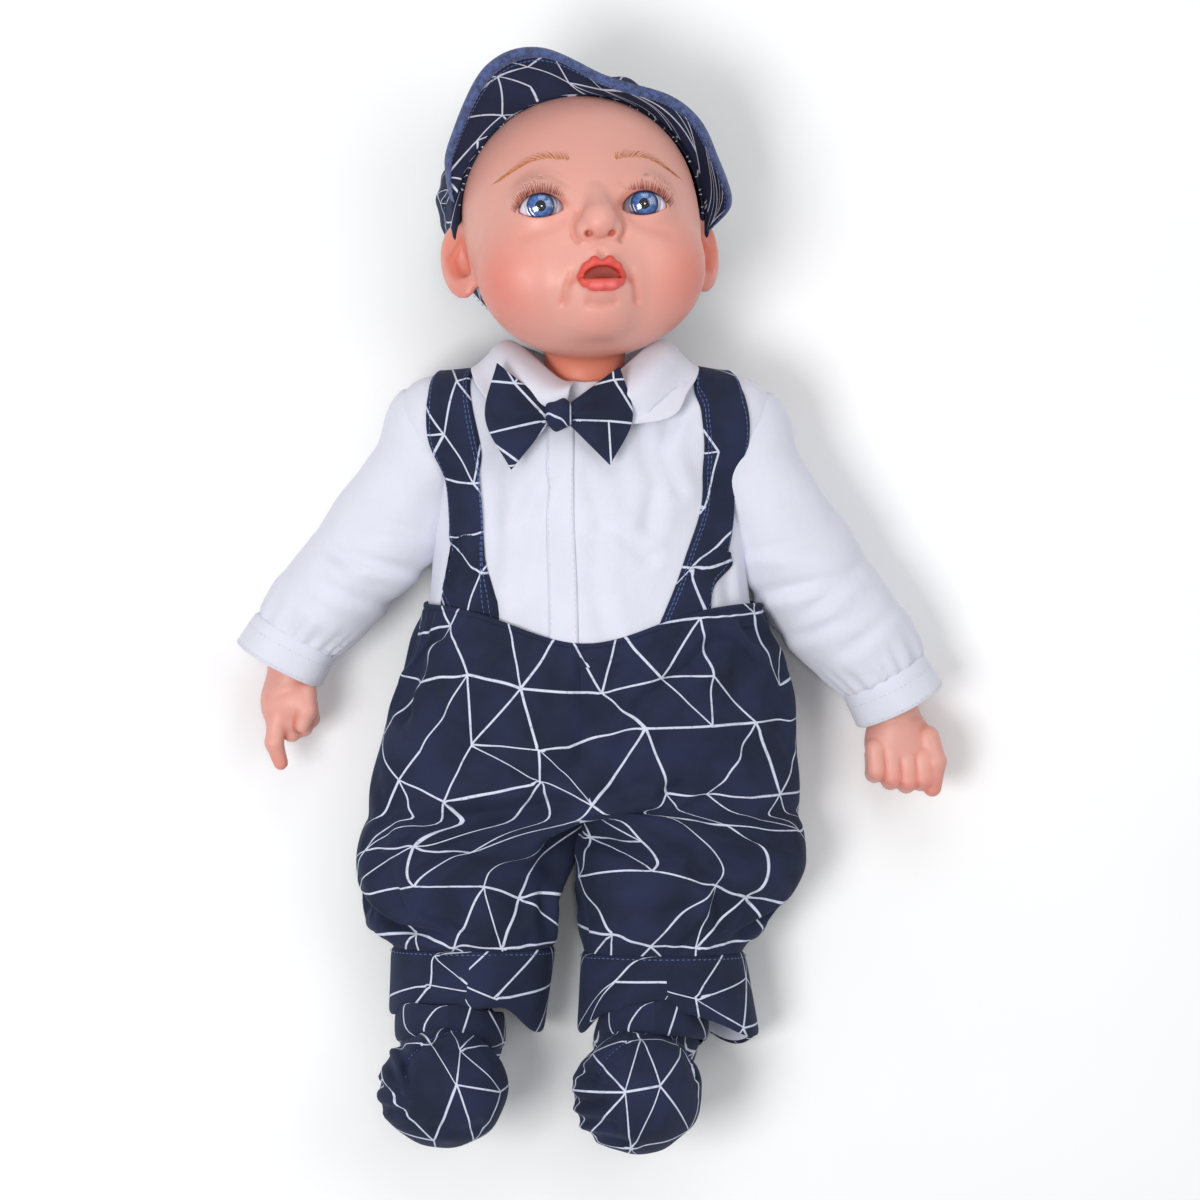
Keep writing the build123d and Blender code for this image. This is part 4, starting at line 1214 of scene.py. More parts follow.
def make_collar():
    """A soft folded collar: a stand round the neck and a leaf that falls outwards."""
    count = 60
    angles = np.radians(np.linspace(9, 351, count))
    turn = (np.degrees(angles) + 180) % 360 - 180
    reach = np.abs(turn)
    rows = []
    leaf = table(
        reach, [(0, 20), (9, 22), (22, 33), (38, 38), (55, 30), (75, 19), (100, 15), (130, 14), (180, 14)]
    )[:, 0]
    wide = 21.5 + 10.5 * step(reach, 22, 80) - 6 * step(reach, 105, 170)
    tall = 98 + 18.5 * step(reach, 18, 78) - 7 * step(reach, 105, 170)
    for k in range(22):
        s = k / 21
        if s < 0.3:
            part = s / 0.3
            radius = 19.2 + (wide - 19.2) * part
            lift = 90 + (tall - 90) * math.sin(part * math.pi / 2)
        else:
            part = (s - 0.3) / 0.7
            radius = wide + leaf * part
            drop_front = 22 * bell(reach - 30, 24) + 9 * step(reach, 40, 80)
            lift = tall + 1.5 * math.sin(math.pi * part) - drop_front * part
        x = radius * np.sin(angles)
        z = 50 + radius * np.cos(angles) * np.where(np.cos(angles) > 0, 1.0, 0.9)
        y = np.broadcast_to(lift, x.shape)
        rows.append(np.column_stack([x, y, z]))
    grid = np.array(rows)
    low = 8
    flat = grid[low:].reshape(-1, 3)
    gap = shirt_field(flat)
    normal = slope(shirt_field, flat)
    weight = step(np.repeat(np.linspace(0, 1, len(grid) - low), count), 0.1, 0.75)
    flat = flat - (weight * (gap - 1.1))[:, None] * normal
    grid[low:] = flat.reshape(grid[low:].shape)
    uv = grid[:, :, :2].copy()
    collar = patch_piece("collar", [(grid, uv, True)])
    smooth_points(collar, 4, 0.4)
    modify(collar, "SOLIDIFY", thickness=1.2 * MM, offset=0.0)
    soften(collar)
    p = points_of(collar)
    gap = shirt_field(p)
    push = np.maximum(0.5 - gap, 0) * (p[:, 1] < 104)
    set_points(collar, p + push[:, None] * slope(shirt_field, p))
    finish_piece(collar, WHITE, "shirt_cloth", "shirt_collar", body="torso")


def make_neckband():
    """The inside band of the collar, closed in front, that hides the neck joint."""
    turn = np.linspace(0, 2 * np.pi, 97)
    rows = []
    for y, out in [
        (82, 2.6), (88, 2.2), (94, 1.6), (97, 1.1), (97.6, 0.5), (97, 0.0), (93, -0.3), (86, -0.3),
    ]:
        high = y + (y > 90) * (1.5 * np.cos(2 * turn) - 0.8 * bell(np.sin(turn / 2), 0.12))
        radius = 18.6 + out
        rows.append(np.column_stack([radius * np.sin(turn), high, 50 + radius * np.cos(turn)]))
    rows = np.array(rows)
    band = patch_piece("collar_band", [(rows, rows[:, :, :2].copy(), False)])
    finish_piece(band, WHITE, "shirt_cloth", body="torso")


def make_bow():
    top_z = 77.0
    wings = {
        "right": ((-15.4, 89.5), (-36, 106), (-41, 83), (-30, 61.0), (-15.4, 79.5)),
        "left": ((-5.6, 89.5), (14.5, 104.5), (20, 83), (10.4, 63.0), (-5.6, 79.5)),
    }
    patches = []
    for name, (inner_top, outer_top, outer_middle, outer_bottom, inner_bottom) in wings.items():
        a = np.linspace(0, 1, 34)[:, None]
        b = np.linspace(0, 1, 41)[None, :]
        inner = P(*inner_top)[None, None] * (1 - b[..., None]) + P(*inner_bottom)[None, None] * b[..., None]
        rim = spline([outer_top, outer_middle, outer_bottom], 41)[None]
        flat = inner * (1 - a[..., None]) + rim * a[..., None]
        puff = 4.2 * np.sin(np.pi * b) ** 0.45 * (0.55 + 0.45 * np.sin(np.pi * a**0.8)) * (1 - a**10)
        pleat = 1.9 * np.cos(2 * np.pi * (b * 2.0 + 0.1)) * (1 - a) ** 1.1 * np.sin(np.pi * b)
        fold = 0.9 * np.cos(2 * np.pi * (b * 1.5 + 0.3)) * np.sin(np.pi * a)
        tilt = 2.4 * a - 1.0
        for sign in (1, -1):
            z = top_z + tilt + sign * puff + (pleat + fold if sign > 0 else 0) * np.sin(np.pi * b)
            grid = np.dstack([flat, np.broadcast_to(z, flat.shape[:2])])
            uv = flat + P(60 if name == "left" else 10, 200)
            patches.append((grid, uv, (sign > 0) == (name == "left")))
    bow = patch_piece("bow_wings", patches)
    weld(bow, 0.4)
    soften(bow)
    finish_piece(bow, NAVY_SMALL, "navy_print", "bow_tie_bow", body="torso")
    rings, sides = 26, 48
    rows = []
    for i in range(rings + 1):
        v = i / rings
        x = -16.4 + 11.8 * v
        swell = math.sin(math.pi * v) ** 0.35
        row = []
        for j in range(sides + 1):
            turn = 2 * math.pi * j / sides
            pleat = 1 + 0.05 * math.cos(3 * turn + 5 * v)
            y = 84.5 + 6.6 * swell * pleat * math.cos(turn) + 0.6 * math.cos(9 * v)
            row.append((x, y, top_z + 5.2 * swell * pleat * math.sin(turn)))
        rows.append(row)
    grid = np.array(rows)
    around = arc_lengths(grid)
    uv = np.dstack([around + 40, grid[:, :, 0] + 300])
    knot = patch_piece("bow_knot", [(grid, uv, False)])
    finish_piece(knot, NAVY_SMALL, "navy_print", "bow_tie_knot", body="torso")


# ---------------------------------------------------------------- arms

def arm_frame(side, sign):
    """An arm's start, its ways along, out and up, and its length."""
    start, end = pivot(f"{side}_arm_raise"), pivot(f"{side}_hand_turn")
    way = (end - start) / np.linalg.norm(end - start)
    out = np.cross(way, P(0, 0, 1)) * -sign
    out = out / np.linalg.norm(out)
    out = out if out[0] * sign > 0 else -out
    up = np.cross(way, out)
    up = up if up[2] > 0 else -up
    return start, way, out, up, np.linalg.norm(end - start)


ARM = {"right": arm_frame("right", -1), "left": arm_frame("left", 1)}

# Outline of a sleeve as (place along the arm, middle across, half width, half depth)
SLEEVE_TABLE = {
    "right": [
        (-14, -4, 15, 15), (0, -4.5, 19.5, 18.5), (20, -4.5, 22, 20), (47, -4.0, 24, 22),
        (76, 0.5, 22.5, 22), (92, 3.5, 21.5, 20.5), (102, 5.4, 19.5, 18), (108, 5.8, 17.6, 16.5),
    ],
    "left": [
        (-14, -4, 15, 15), (0, -4.5, 19.5, 18.5), (25, -6, 23, 20.5), (60, -4.6, 25, 22.5),
        (90, -1.0, 24.5, 22.5), (106, 2.4, 22.5, 20.5), (117, 3.6, 19.8, 18), (124, 3.8, 17.8, 16.5),
    ],
}
# Folds across a sleeve as (place along the arm, middle across, half length, lean, depth)
SLEEVE_FOLDS = {
    "right": [
        (58, -10, 24, 0.9, 1.5), (66, -2, 20, -0.6, 1.3), (74, -14, 18, 0.5, 1.2), (40, -12, 16, 1.1, 1.0),
        (86, 6, 16, -0.4, 0.9),
    ],
    "left": [
        (66, -12, 26, 0.8, 1.6), (76, -4, 22, -0.6, 1.4), (86, -14, 20, 0.4, 1.2), (48, -10, 18, 1.0, 1.0),
        (98, 4, 18, -0.5, 1.0),
    ],
}


def arm_place(p, side):
    start, way, out, up, _ = ARM[side]
    q = p - start
    return q @ way, q @ out, q @ up


def sleeve_field(p, side):
    t, n, h = arm_place(p, side)
    length = ARM[side][4]
    row = table(t, SLEEVE_TABLE[side])
    flat = np.hypot((n - row[:, 0]) / row[:, 1], h / row[:, 2])
    d = (flat - 1) * np.minimum(row[:, 1], row[:, 2]) * 0.92
    d = smin(d, ball(p, ARM[side][0] + P(0, 2, 0), 19.5), 8)
    for at, middle_n, half, lean, depth in SLEEVE_FOLDS[side]:
        line = t - at - lean * (n - middle_n) * 0.35
        fade = bell(n - middle_n, half)
        d = d + depth * fade * (bell(line, 3.2) - 0.6 * bell(line - 5.5, 3.6))
    around = np.arctan2(h, n)
    near_cuff = step(t, length - 34, length - 15)
    d = d + 0.7 * near_cuff * np.cos(17 * around + 0.08 * t + np.sin(5 * around))
    d = d - 0.45 * ripple(p, 24, 11 if side == "left" else 5)
    d = smax(d, 1.0 - p[:, 2], 2.5)
    d = smax(d, t - (length - 14), 1.2)
    return smax(d, -10 - t, 3)


def cuff_grid(side, shift, count=96):
    """Rows along the cuff, from its sewn edge to its mouth and back inside."""
    start, way, out, up, length = ARM[side]
    offset = SLEEVE_TABLE[side][-1][1]
    rows = []
    profile = [
        (-16.2, -1.6), (-15.4, 0.2), (-14.6, 0.9), (-10, 0.8), (-4, 0.9), (-1.2, 1.0), (0.0, 0.6),
        (0.3, 0.0), (0.0, -0.8), (-4, -1.2), (-13, -1.4),
    ]
    for at, thick in profile:
        row = []
        for j in range(count + 1):
            turn = 2 * math.pi * j / count
            wave = 0.5 * math.sin(2 * turn + 0.7) + 0.35 * math.sin(5 * turn + shift)
            radius = 18.2 + thick + wave + 0.8 * (at + 16) / 16
            t = length + at + 0.9 * math.sin(turn + shift)
            across = out * (offset + radius * math.cos(turn))
            row.append(start + way * t + across + up * radius * 0.97 * math.sin(turn))
        rows.append(row)
    return np.array(rows)


def make_arm(side):
    low = ARM[side][0] + P(-75 if side == "right" else -32, -118, -37)
    high = ARM[side][0] + P(32 if side == "right" else 82, 32, 32)
    if side == "left":
        low = low - P(0, 16, 0)
    sleeve = field_piece(f"{side}_shirt_sleeve", lambda p: sleeve_field(p, side), low, high, 2.0)
    finish_piece(
        sleeve,
        WHITE,
        "shirt_cloth",
        f"{side}_sleeve",
        f"{side}_arm_cap",
        f"{side}_upper_arm",
        f"{side}_arm_tie",
    )
    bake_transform(sleeve)
    grid = cuff_grid(side, 0.4 if side == "left" else 2.1)
    uv = grid[:, :, :2].copy()
    cuff = patch_piece(f"{side}_shirt_cuff", [(grid, uv, side == "right")])
    soften(cuff)
    finish_piece(cuff, WHITE, "shirt_cloth", f"{side}_cuff", body=f"{side}_arm")
    lines = []
    for ring in (grid[3], grid[5]):
        normal = unit(ring - ring.mean(axis=0))
        lines.append((ring + normal * 0.06, normal))
    stitches(
        f"{side}_cuff_stitches", lines, WHITE_THREAD, "shirt_cloth", f"{side}_arm", 1.6, 0.8, 0.15, 0.02
    )


def right_hand_field(p):
    """Index finger out and a little bent, the others curled into the palm, thumb in front."""
    d = limb(p, (-123, -14, 25), (-126, -32, 24), 11.5, 9.5)
    d = smin(d, egg(p, (-126.5, -36, 24), (11, 13, 9.5)), 5)
    d = smin(d, ball(p, (-121, -34, 29), 6.5), 5)
    index = limb(p, (-130.5, -43, 28), (-131.5, -52, 29), 4.3, 3.9)
    index = smin(index, limb(p, (-131.5, -52, 29), (-129, -60.5, 27), 3.9, 3.1), 1.2)
    d = smin(d, index, 2.5)
    for k, (x, y, r) in enumerate([(-124.5, -47.5, 4.1), (-119.8, -45.5, 3.9), (-116.4, -42.0, 3.5)]):
        finger = limb(p, (x - 0.5, y + 5, 27 - k), (x, y, 24.5 - k), r + 0.2, r)
        finger = smin(finger, limb(p, (x, y, 24 - k), (x - 1.0, y + 3.5, 17.5), r, r - 0.7), 1.2)
        d = smin(d, finger, 1.4)
    thumb = limb(p, (-118.5, -30, 30), (-117.5, -38, 32), 4.8, 4.2)
    thumb = smin(thumb, limb(p, (-117.5, -38, 32), (-119.5, -44.5, 31), 4.2, 3.2), 1.2)
    d = smin(d, thumb, 1.8)
    return d + 0.5 * groove(p, [(-133, -33), (-120, -29)], 1.4) * step(p[:, 2], 22, 28)


def left_hand_field(p):
    """Closed fist, knuckles towards the feet, thumb along its outer side."""
    d = limb(p, (128, -30, 25), (132, -44, 24), 12, 10.5)
    d = smin(d, egg(p, (133, -52, 24), (14.5, 13, 10)), 5)
    for x, y in ((123.5, -63.5), (130.3, -66.5), (137.0, -68.0), (143.3, -67.0)):
        finger = limb(p, (x - 0.5, y + 9, 29), (x, y, 29.5), 4.6, 4.3)
        finger = smin(finger, limb(p, (x, y, 29), (x - 0.4, y - 2.0, 20.5), 4.3, 3.9), 1.3)
        finger = smin(finger, limb(p, (x - 0.4, y - 1.5, 20), (x - 0.8, y + 6, 17), 3.9, 3.6), 1.2)
        d = smin(d, finger, 1.2)
    thumb = limb(p, (145, -50, 28), (148.2, -60, 29), 5.2, 4.6)
    thumb = smin(thumb, limb(p, (148.2, -60, 29), (147.0, -71, 27.5), 4.6, 3.9), 1.4)
    d = smin(d, thumb, 1.8)
    return d + 0.5 * groove(p, [(121, -44), (143, -40)], 1.4) * step(p[:, 2], 22, 28)


def make_hands():
    for side, field, low, high in (
        ("right", right_hand_field, (-146, -70, 4), (-104, 6, 44)),
        ("left", left_hand_field, (108, -82, 4), (160, -12, 44)),
    ):
        hand = field_piece(f"{side}_vinyl_hand", field, low, high, 0.9)
        p = points_of(hand)
        colour = np.tile(SKIN_TONE, (len(p), 1))
        # Painted shade in the creases where the fingers, thumb and palm meet
        crease_shade = 1 - np.linalg.norm(slope(field, p, 1.4), axis=1)
        colour = blend_colour(colour, linear(206, 112, 88), step(crease_shade, 0.02, 0.35) * 0.8)
        knuckles = 50 if side == "right" else 60
        tips = step(-p[:, 1], knuckles, knuckles + 12)
        colour = blend_colour(colour, BLUSH, 0.35 * tips)
        paint(hand, colour)
        finish_piece(hand, SKIN, "vinyl_skin", f"{side}_hand", body=f"{side}_hand")


make_shirt()
make_suspenders()
make_collar()
make_neckband()
make_bow()
for arm_side in ("right", "left"):
    make_arm(arm_side)
make_hands()


# ---------------------------------------------------------------- trousers

# Outline of the trousers as (y, right edge, left edge, middle height, half height)
UPPER_TABLE = [
    (7, -67, 74, 37, 35.0),
    (-8, -72.5, 79, 37.5, 36.5),
    (-34, -79.5, 86, 37.5, 37.0),
    (-59, -88, 89.5, 36.5, 35.5),
    (-80, -93, 90, 36, 34.5),
]
# The same below the crotch for one leg, with its inner edge
LEG_TABLE = {
    "right": [
        (-80, -93, -1, 36, 34.5), (-95, -94.5, -6, 34.5, 33.5), (-112, -93, -9.5, 32.5, 32),
        (-126, -88, -11, 30, 29.5), (-133, -84, -12.5, 28.5, 27.5), (-138, -81, -13.5, 27, 25.5),
    ],
    "left": [
        (-80, 90, -1, 36, 34.5), (-95, 90.5, 1, 34.5, 33.5), (-112, 86, -3.5, 32.5, 32),
        (-126, 75, -3, 30, 29.5), (-133, 69.5, -1.5, 28.5, 27.5), (-140, 66.5, -0.5, 27, 25.5),
    ],
}
CROTCH_Y = -80
CENTRE_X = -1.0
UPPER_ROWS, LEG_ROWS, OUTER_COLUMNS, INNER_COLUMNS = 34, 24, 78, 34
SIDE_POWER, FRONT_POWER = 0.88, 0.86
TAKE_IN = 0.055
# Folds on the front as (points, half width, depth)
TROUSER_FOLDS = [
    ([(-64, -20), (-56, -38), (-44, -47), (-27, -61)], 3.4, 4.2),
    ([(-66, 2), (-69, -18), (-69, -37)], 3.0, 2.6),
    ([(-8, -73), (-27, -74.5), (-46, -77), (-63, -82), (-68, -92)], 3.6, 5.0),
    ([(7, -70), (18, -65), (37, -66)], 3.2, 4.2),
    ([(37, -66), (26, -77), (17, -85)], 3.0, 3.2),
    ([(56, -9), (38, -22), (25, -31), (16, -50), (14, -58)], 3.4, 3.8),
    ([(66, -2), (60, -30), (66, -52)], 3.4, 2.0),
    ([(54, -100), (68, -103), (82, -107)], 3.4, 4.0),
    ([(46, -96), (44, -106), (55, -114), (57, -126)], 3.2, 3.4),
    ([(-88, -120), (-78, -127), (-60, -131)], 3.2, 3.6),
    ([(4, -123), (18, -126), (41, -123)], 3.2, 3.4),
    ([(-14, -84), (-13, -106), (-15, -130)], 2.8, 2.6),
    ([(-50, -98), (-30, -104), (-16, -102)], 3.4, 1.8),
    ([(10, -96), (28, -104), (38, -100)], 3.4, 2.2),
]


def fuller(wave, power):
    """A wave between -1 and 1 with fuller shoulders, which squares a round outline a little."""
    return np.sign(wave) * np.abs(wave) ** power


def waist_drop(x, front):
    """The waistband hangs lower at the middle of the front."""
    return np.where(front, -17.5 * bell(x, 40), 0)


def trouser_grids(side):
    """Outer grid, front middle round to back middle, and the inner grid of the leg.

    The cloth is cut smaller than it looks by TAKE_IN, because draping makes it grow again.
    """
    column = 0 if side == "right" else 1
    turn = np.linspace(0, np.pi, OUTER_COLUMNS)
    inner_turn = np.linspace(0, np.pi, INNER_COLUMNS)
    upper_y = np.linspace(7, CROTCH_Y, UPPER_ROWS)
    outer, inner = [], []
    for y, row in zip(upper_y, table(upper_y, UPPER_TABLE)):
        x = CENTRE_X + (row[column] - CENTRE_X) * fuller(np.sin(turn), SIDE_POWER)
        z = row[2] + row[3] * fuller(np.cos(turn), FRONT_POWER)
        dip = waist_drop(x, turn < np.pi / 2) * step(np.array(y), -30, 5)
        pull = 1 - TAKE_IN * float(step(np.array(-y), 10, 50))
        outer.append(
            np.column_stack([CENTRE_X + (x - CENTRE_X) * pull, y + dip, row[2] + (z - row[2]) * pull])
        )
    seam = LEG_TABLE[side][-1][0]
    leg_y = np.linspace(CROTCH_Y, seam, LEG_ROWS + 1)
    for k, (y, row) in enumerate(zip(leg_y, table(leg_y, LEG_TABLE[side]))):
        part = float(np.clip((CROTCH_Y - y) / 26, 0, 1)) ** 0.6
        middle_x = CENTRE_X + ((row[0] + row[1]) / 2 - CENTRE_X) * part
        pull = 1 - TAKE_IN * float(step(np.array(y), seam, seam + 22))
        outer_x, inner_x = middle_x + (row[:2] - middle_x) * pull
        depth = row[3] * pull
        if k:
            x = middle_x + (outer_x - middle_x) * fuller(np.sin(turn), SIDE_POWER)
            z = row[2] + depth * fuller(np.cos(turn), FRONT_POWER)
            outer.append(np.column_stack([x, np.full_like(x, y), z]))
        x = middle_x + (inner_x - middle_x) * fuller(np.sin(inner_turn), SIDE_POWER)
        if not k:
            x = np.full_like(x, CENTRE_X)
        z = row[2] + depth * fuller(np.cos(inner_turn), FRONT_POWER)
        lift = 5.0 * np.sin(inner_turn) * (1 - part)
        inner.append(np.column_stack([x, y + lift, z]))
    return np.array(outer), np.array(inner)


def fold_front(p, folds, low, high):
    """Pushes grooves with soft ridges beside them into an upward surface."""
    amount = np.zeros(len(p))
    for points, width, depth in folds:
        amount -= depth * crease(p, points, width, 0.55, 2.0, 1.1)
    return amount * step(p[:, 2], low, high)


def drape_trousers(grids, parts):
    """Drapes both halves as one cloth, and gives back every grid's points."""
    every = np.vstack([grids[side][kind].reshape(-1, 3) for side, kind, *_ in parts])
    _, first, inverse = np.unique(np.round(every, 2), axis=0, return_index=True, return_inverse=True)
    inverse = inverse.reshape(-1)
    faces = []
    hold = np.zeros(len(every))
    for side, kind, base, rows, columns in parts:
        quads = grid_faces(rows, columns, base, (side == "left") == (kind == 0))
        faces += [tuple(inverse[list(quad)]) for quad in quads]
        pin = np.zeros((rows, columns))
        pin[-1] = 1
        pin[-2] = 0.4
        if kind == 0:
            pin[:3] = [[1], [0.6], [0.2]]
        hold[base : base + rows * columns] = pin.reshape(-1)
    faces = [face for face in faces if len(set(face)) == 4]
    cloth = mesh_piece("trouser_cloth", every[first], faces)
    pinned = np.zeros(len(first))
    np.maximum.at(pinned, inverse, hold)
    p = points_of(cloth)
    normal = np.empty(len(p) * 3)
    cloth.data.vertices.foreach_get("normal", normal)
    normal = normal.reshape(-1, 3)
    free = (1 - pinned)[:, None]
    p = p + normal * (fold_front(p, TROUSER_FOLDS, 30, 52) + 0.5 * ripple(p, 30, 8))[:, None] * free
    p[:, 2] = np.maximum(p[:, 2], 1.0)
    set_points(cloth, p)
    smooth_points(cloth, 2, 0.4, pinned)
    drape(cloth, pinned, grow=0.12, pressure=0.25, frames=34, cap=8, bending=0.08, floor=0.5)
    smooth_points(cloth, 1, 0.35, pinned)
    p = points_of(cloth)
    p[:, 2] = np.maximum(p[:, 2], 0.6)
    bpy.data.objects.remove(cloth)
    return p[inverse]


def make_trousers():
    """Two halves, with a hidden wall down the middle that closes them."""
    grids = {side: trouser_grids(side) for side in ("right", "left")}
    parts, base = [], 0
    for side in ("right", "left"):
        for kind, grid in enumerate(grids[side]):
            rows, columns = grid.shape[:2]
            parts.append((side, kind, base, rows, columns))
            base += rows * columns
    p = drape_trousers(grids, parts)
    for side, sign in (("right", -1), ("left", 1)):
        patches = []
        for name, kind, base, rows, columns in parts:
            if name != side:
                continue
            grid = p[base : base + rows * columns].reshape(rows, columns, 3)
            flat = grids[side][kind]
            around = arc_lengths(flat) * (-sign if kind else sign)
            uv = np.dstack([around + 7, flat[:, :, 1]])
            patches.append((grid, uv, (side == "left") == (kind == 0)))
            if not kind:
                front = grid[:UPPER_ROWS, 0] - P(0, 0, 1.2)
                back = grid[:UPPER_ROWS, -1] + P(0, 0, 1.2)
        wall = np.array([front * (1 - t) + back * t + P(0.5 * sign, 0, 0) for t in np.linspace(0, 1, 12)])
        wall = wall.transpose(1, 0, 2)
        patches.append((wall, wall[:, :, 1:], side == "right"))
        legs = patch_piece(f"{side}_trousers", patches)
        soften(legs)
        finish_piece(legs, NAVY, "navy_print", f"{side}_trouser_leg", f"{side}_thigh", body=None)
        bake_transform(legs)
    return grids


def make_waist(grids):
    """The turned-over top edge of the trousers."""
    profile = [
        (1.0, 0.2), (0.4, 0.9), (-0.2, 0.9), (-0.8, 0.5), (-1.0, -0.4), (-0.4, -1.4), (1.5, -1.9),
        (7.0, -2.2), (9, -2.4),
    ]
    for side, sign in (("right", -1), ("left", 1)):
        top, below = grids[side][0][:2]
        down = unit(below - top)
        out = top - P(CENTRE_X, 0, 37)
        out[:, 1] = 0
        out = unit(out)
        rows = np.array([top + down * a + out * b for a, b in profile])
        uv = np.dstack([sign * arc_lengths(rows) + 7, rows[:, :, 1]])
        band = patch_piece(f"{side}_waist_turn", [(rows, uv, side == "right")])
        names = ("trouser_seat", "trouser_waistband") if side == "right" else ()
        finish_piece(band, NAVY, "navy_print", *names, body="torso")


HEM_LENGTH = 27.0
# The hem's outer and inner edge in x, at its seam and then at its end
HEM_EDGES = {"right": (-81, -13.5, -82.5, -19.5), "left": (66.5, -0.5, 72, -3)}


def hem_ring(side, y, spread, count=112):
    """One ring of a trouser hem, at its place along the leg in y."""
    low = abs(y - LEG_TABLE[side][-1][0]) / HEM_LENGTH
    top_outer, top_inner, end_outer, end_inner = HEM_EDGES[side]
    outer = top_outer + (end_outer - top_outer) * low
    inner = top_inner + (end_inner - top_inner) * low
    middle_x, half = (outer + inner) / 2, abs(outer - inner) / 2
    turn = np.linspace(0, 2 * np.pi, count + 1)
    x = middle_x + (half + spread) * fuller(np.sin(turn), 0.92)
    z = 27 - 1.5 * low + (25.5 - 0.5 * low + spread) * fuller(np.cos(turn), 0.9)
    wave = 0.8 * np.sin(3 * turn + 1.0) * low + 0.5 * np.sin(7 * turn) * low
    if side == "right":
        slant = -9.5 * step(x, -34, -19) - 1.5 * step(-x, 66, 84)
    else:
        slant = -7.5 * step(-x, -10, 2) - 9.0 * step(x, 38, 74) - 8.0 * step(-z, -26, -6) * step(x, 20, 60)
    slant = slant + 3.0 * step(z, 36, 48)
    x = x + 0.9 * np.cos(4 * turn + 0.5) * low
    return np.column_stack([x, y + slant * low, np.maximum(z + wave, 1.0)])


def make_hem(side):
    seam = LEG_TABLE[side][-1][0]
    profile = [
        (0.4, -1.2), (-0.2, 0.2), (-1.2, 0.9), (-4, 1.3), (-10, 1.2), (-17, 1.2), (-23, 1.3), (-25.5, 1.2),
        (-26.8, 0.5), (-27.0, -0.4), (-26.4, -0.9),
    ]
    rows = np.array([hem_ring(side, seam + a, b) for a, b in profile])
    uv = np.dstack([arc_lengths(rows) + 150, rows[:, :, 1] + (40 if side == "left" else 0)])
    hem = patch_piece(f"{side}_hem_band", [(rows, uv, False)])
    soften(hem)
    p = points_of(hem)
    p[:, 2] = np.maximum(p[:, 2] + 0.35 * ripple(p, 14, 21), 0.8)
    set_points(hem, p)
    finish_piece(hem, NAVY, "navy_print", f"{side}_trouser_hem", body=f"{side}_leg")
    profile = [(-26.2, -0.8), (-26.0, -1.7), (-24, -2.2), (-16, -2.4), (-6, -2.8), (4, -3.4)]
    rows = np.array([hem_ring(side, seam + a, b) for a, b in profile])
    lining = patch_piece(f"{side}_hem_lining", [(rows, rows[:, :, :2], False)])
    soften(lining)
    p = points_of(lining)
    p[:, 2] = np.maximum(p[:, 2], 1.2)
    set_points(lining, p)
    finish_piece(lining, LINING, "navy_print", body=f"{side}_leg")
    ring = hem_ring(side, seam - 1.6, 1.25)
    normal = ring - ring.mean(axis=0)
    normal[:, 1] = 0
    normal = unit(normal)
    stitches(
        f"{side}_hem_stitches",
        [(ring, normal)],
        NAVY_THREAD,
        "navy_print",
        f"{side}_leg",
        1.2,
        1.1,
        0.2,
        0.1,
    )


# ---------------------------------------------------------------- booties

# The joint of each foot, and then each foot's toe middle, toe radii and ankle middle
ANKLE = {side: pivot(f"{side}_foot_turn") for side in ("right", "left")}
FOOT = {
    "right": (P(-58.8, -194.5, 55), P(27.0, 24.5, 23.5), P(-57, -176, 26)),
    "left": (P(21.8, -196.5, 55), P(27.0, 25.0, 23.5), P(26, -176, 26)),
}
# Puckers round the toe as (points, half width, depth), and the seam over it
BOOTIE_FOLDS = {
    "right": [
        ([(-86, -178), (-80, -184), (-76, -192)], 1.8, 1.7),
        ([(-88, -192), (-80, -194), (-74, -196)], 1.8, 1.9),
        ([(-86, -202), (-79, -202), (-74, -201)], 1.7, 1.5),
        ([(-80, -172), (-74, -180), (-73, -190)], 1.8, 1.4),
        ([(-60, -208), (-52, -210), (-44, -208)], 2.4, 1.0),
    ],
    "left": [
        ([(-4, -186), (4, -188), (12, -190)], 1.8, 1.5),
        ([(-8, -198), (0, -199), (8, -198)], 1.8, 1.9),
        ([(-8, -207), (2, -206), (12, -207)], 1.8, 1.7),
        ([(-2, -214), (8, -212), (18, -215)], 1.8, 1.4),
    ],
}
TOE_SEAM = {
    "right": [(-72, -192), (-74, -184), (-68, -176), (-56, -171), (-44, -173), (-36, -181)],
    "left": [(4, -192), (8, -182), (20, -173), (32, -172), (42, -180), (46, -190)],
}


def bootie_field(p, side):
    toe, radii, ankle = FOOT[side]
    d = egg(p, toe, radii)
    d = smin(d, egg(p, ankle + P(0, -4, -2), (22, 18, 21)), 9)
    d = smin(d, egg(p, ankle + P(0, 4, 3), (20, 12, 20)), 7)
    front = step(p[:, 2], 50, 62)
    for points, width, depth in BOOTIE_FOLDS[side]:
        d = d + front * depth * crease(p, points, width)
    away = line_distance(p, TOE_SEAM[side])
    d = d + front * 1.3 * bell(away, 0.9) - front * 0.5 * bell(away - 2.6, 1.6)
    d = d - 0.45 * ripple(p, 17, 31 if side == "left" else 37)
    return smax(d, 1.2 - p[:, 2], 3)


def around_uv(p, centre, axis, radius):
    """Spreads a roundish surface flat from where the axis leaves it."""
    axis = axis / np.linalg.norm(axis)
    first = np.cross(axis, P(0, 1, 0.2))
    first /= np.linalg.norm(first)
    second = np.cross(axis, first)
    way = p - centre
    way = unit(way)
    lean = np.arccos(np.clip(way @ axis, -1, 1))
    flat = np.column_stack([way @ first, way @ second])
    flat /= np.maximum(np.linalg.norm(flat, axis=1, keepdims=True), 1e-6)
    return flat * (lean * radius)[:, None]


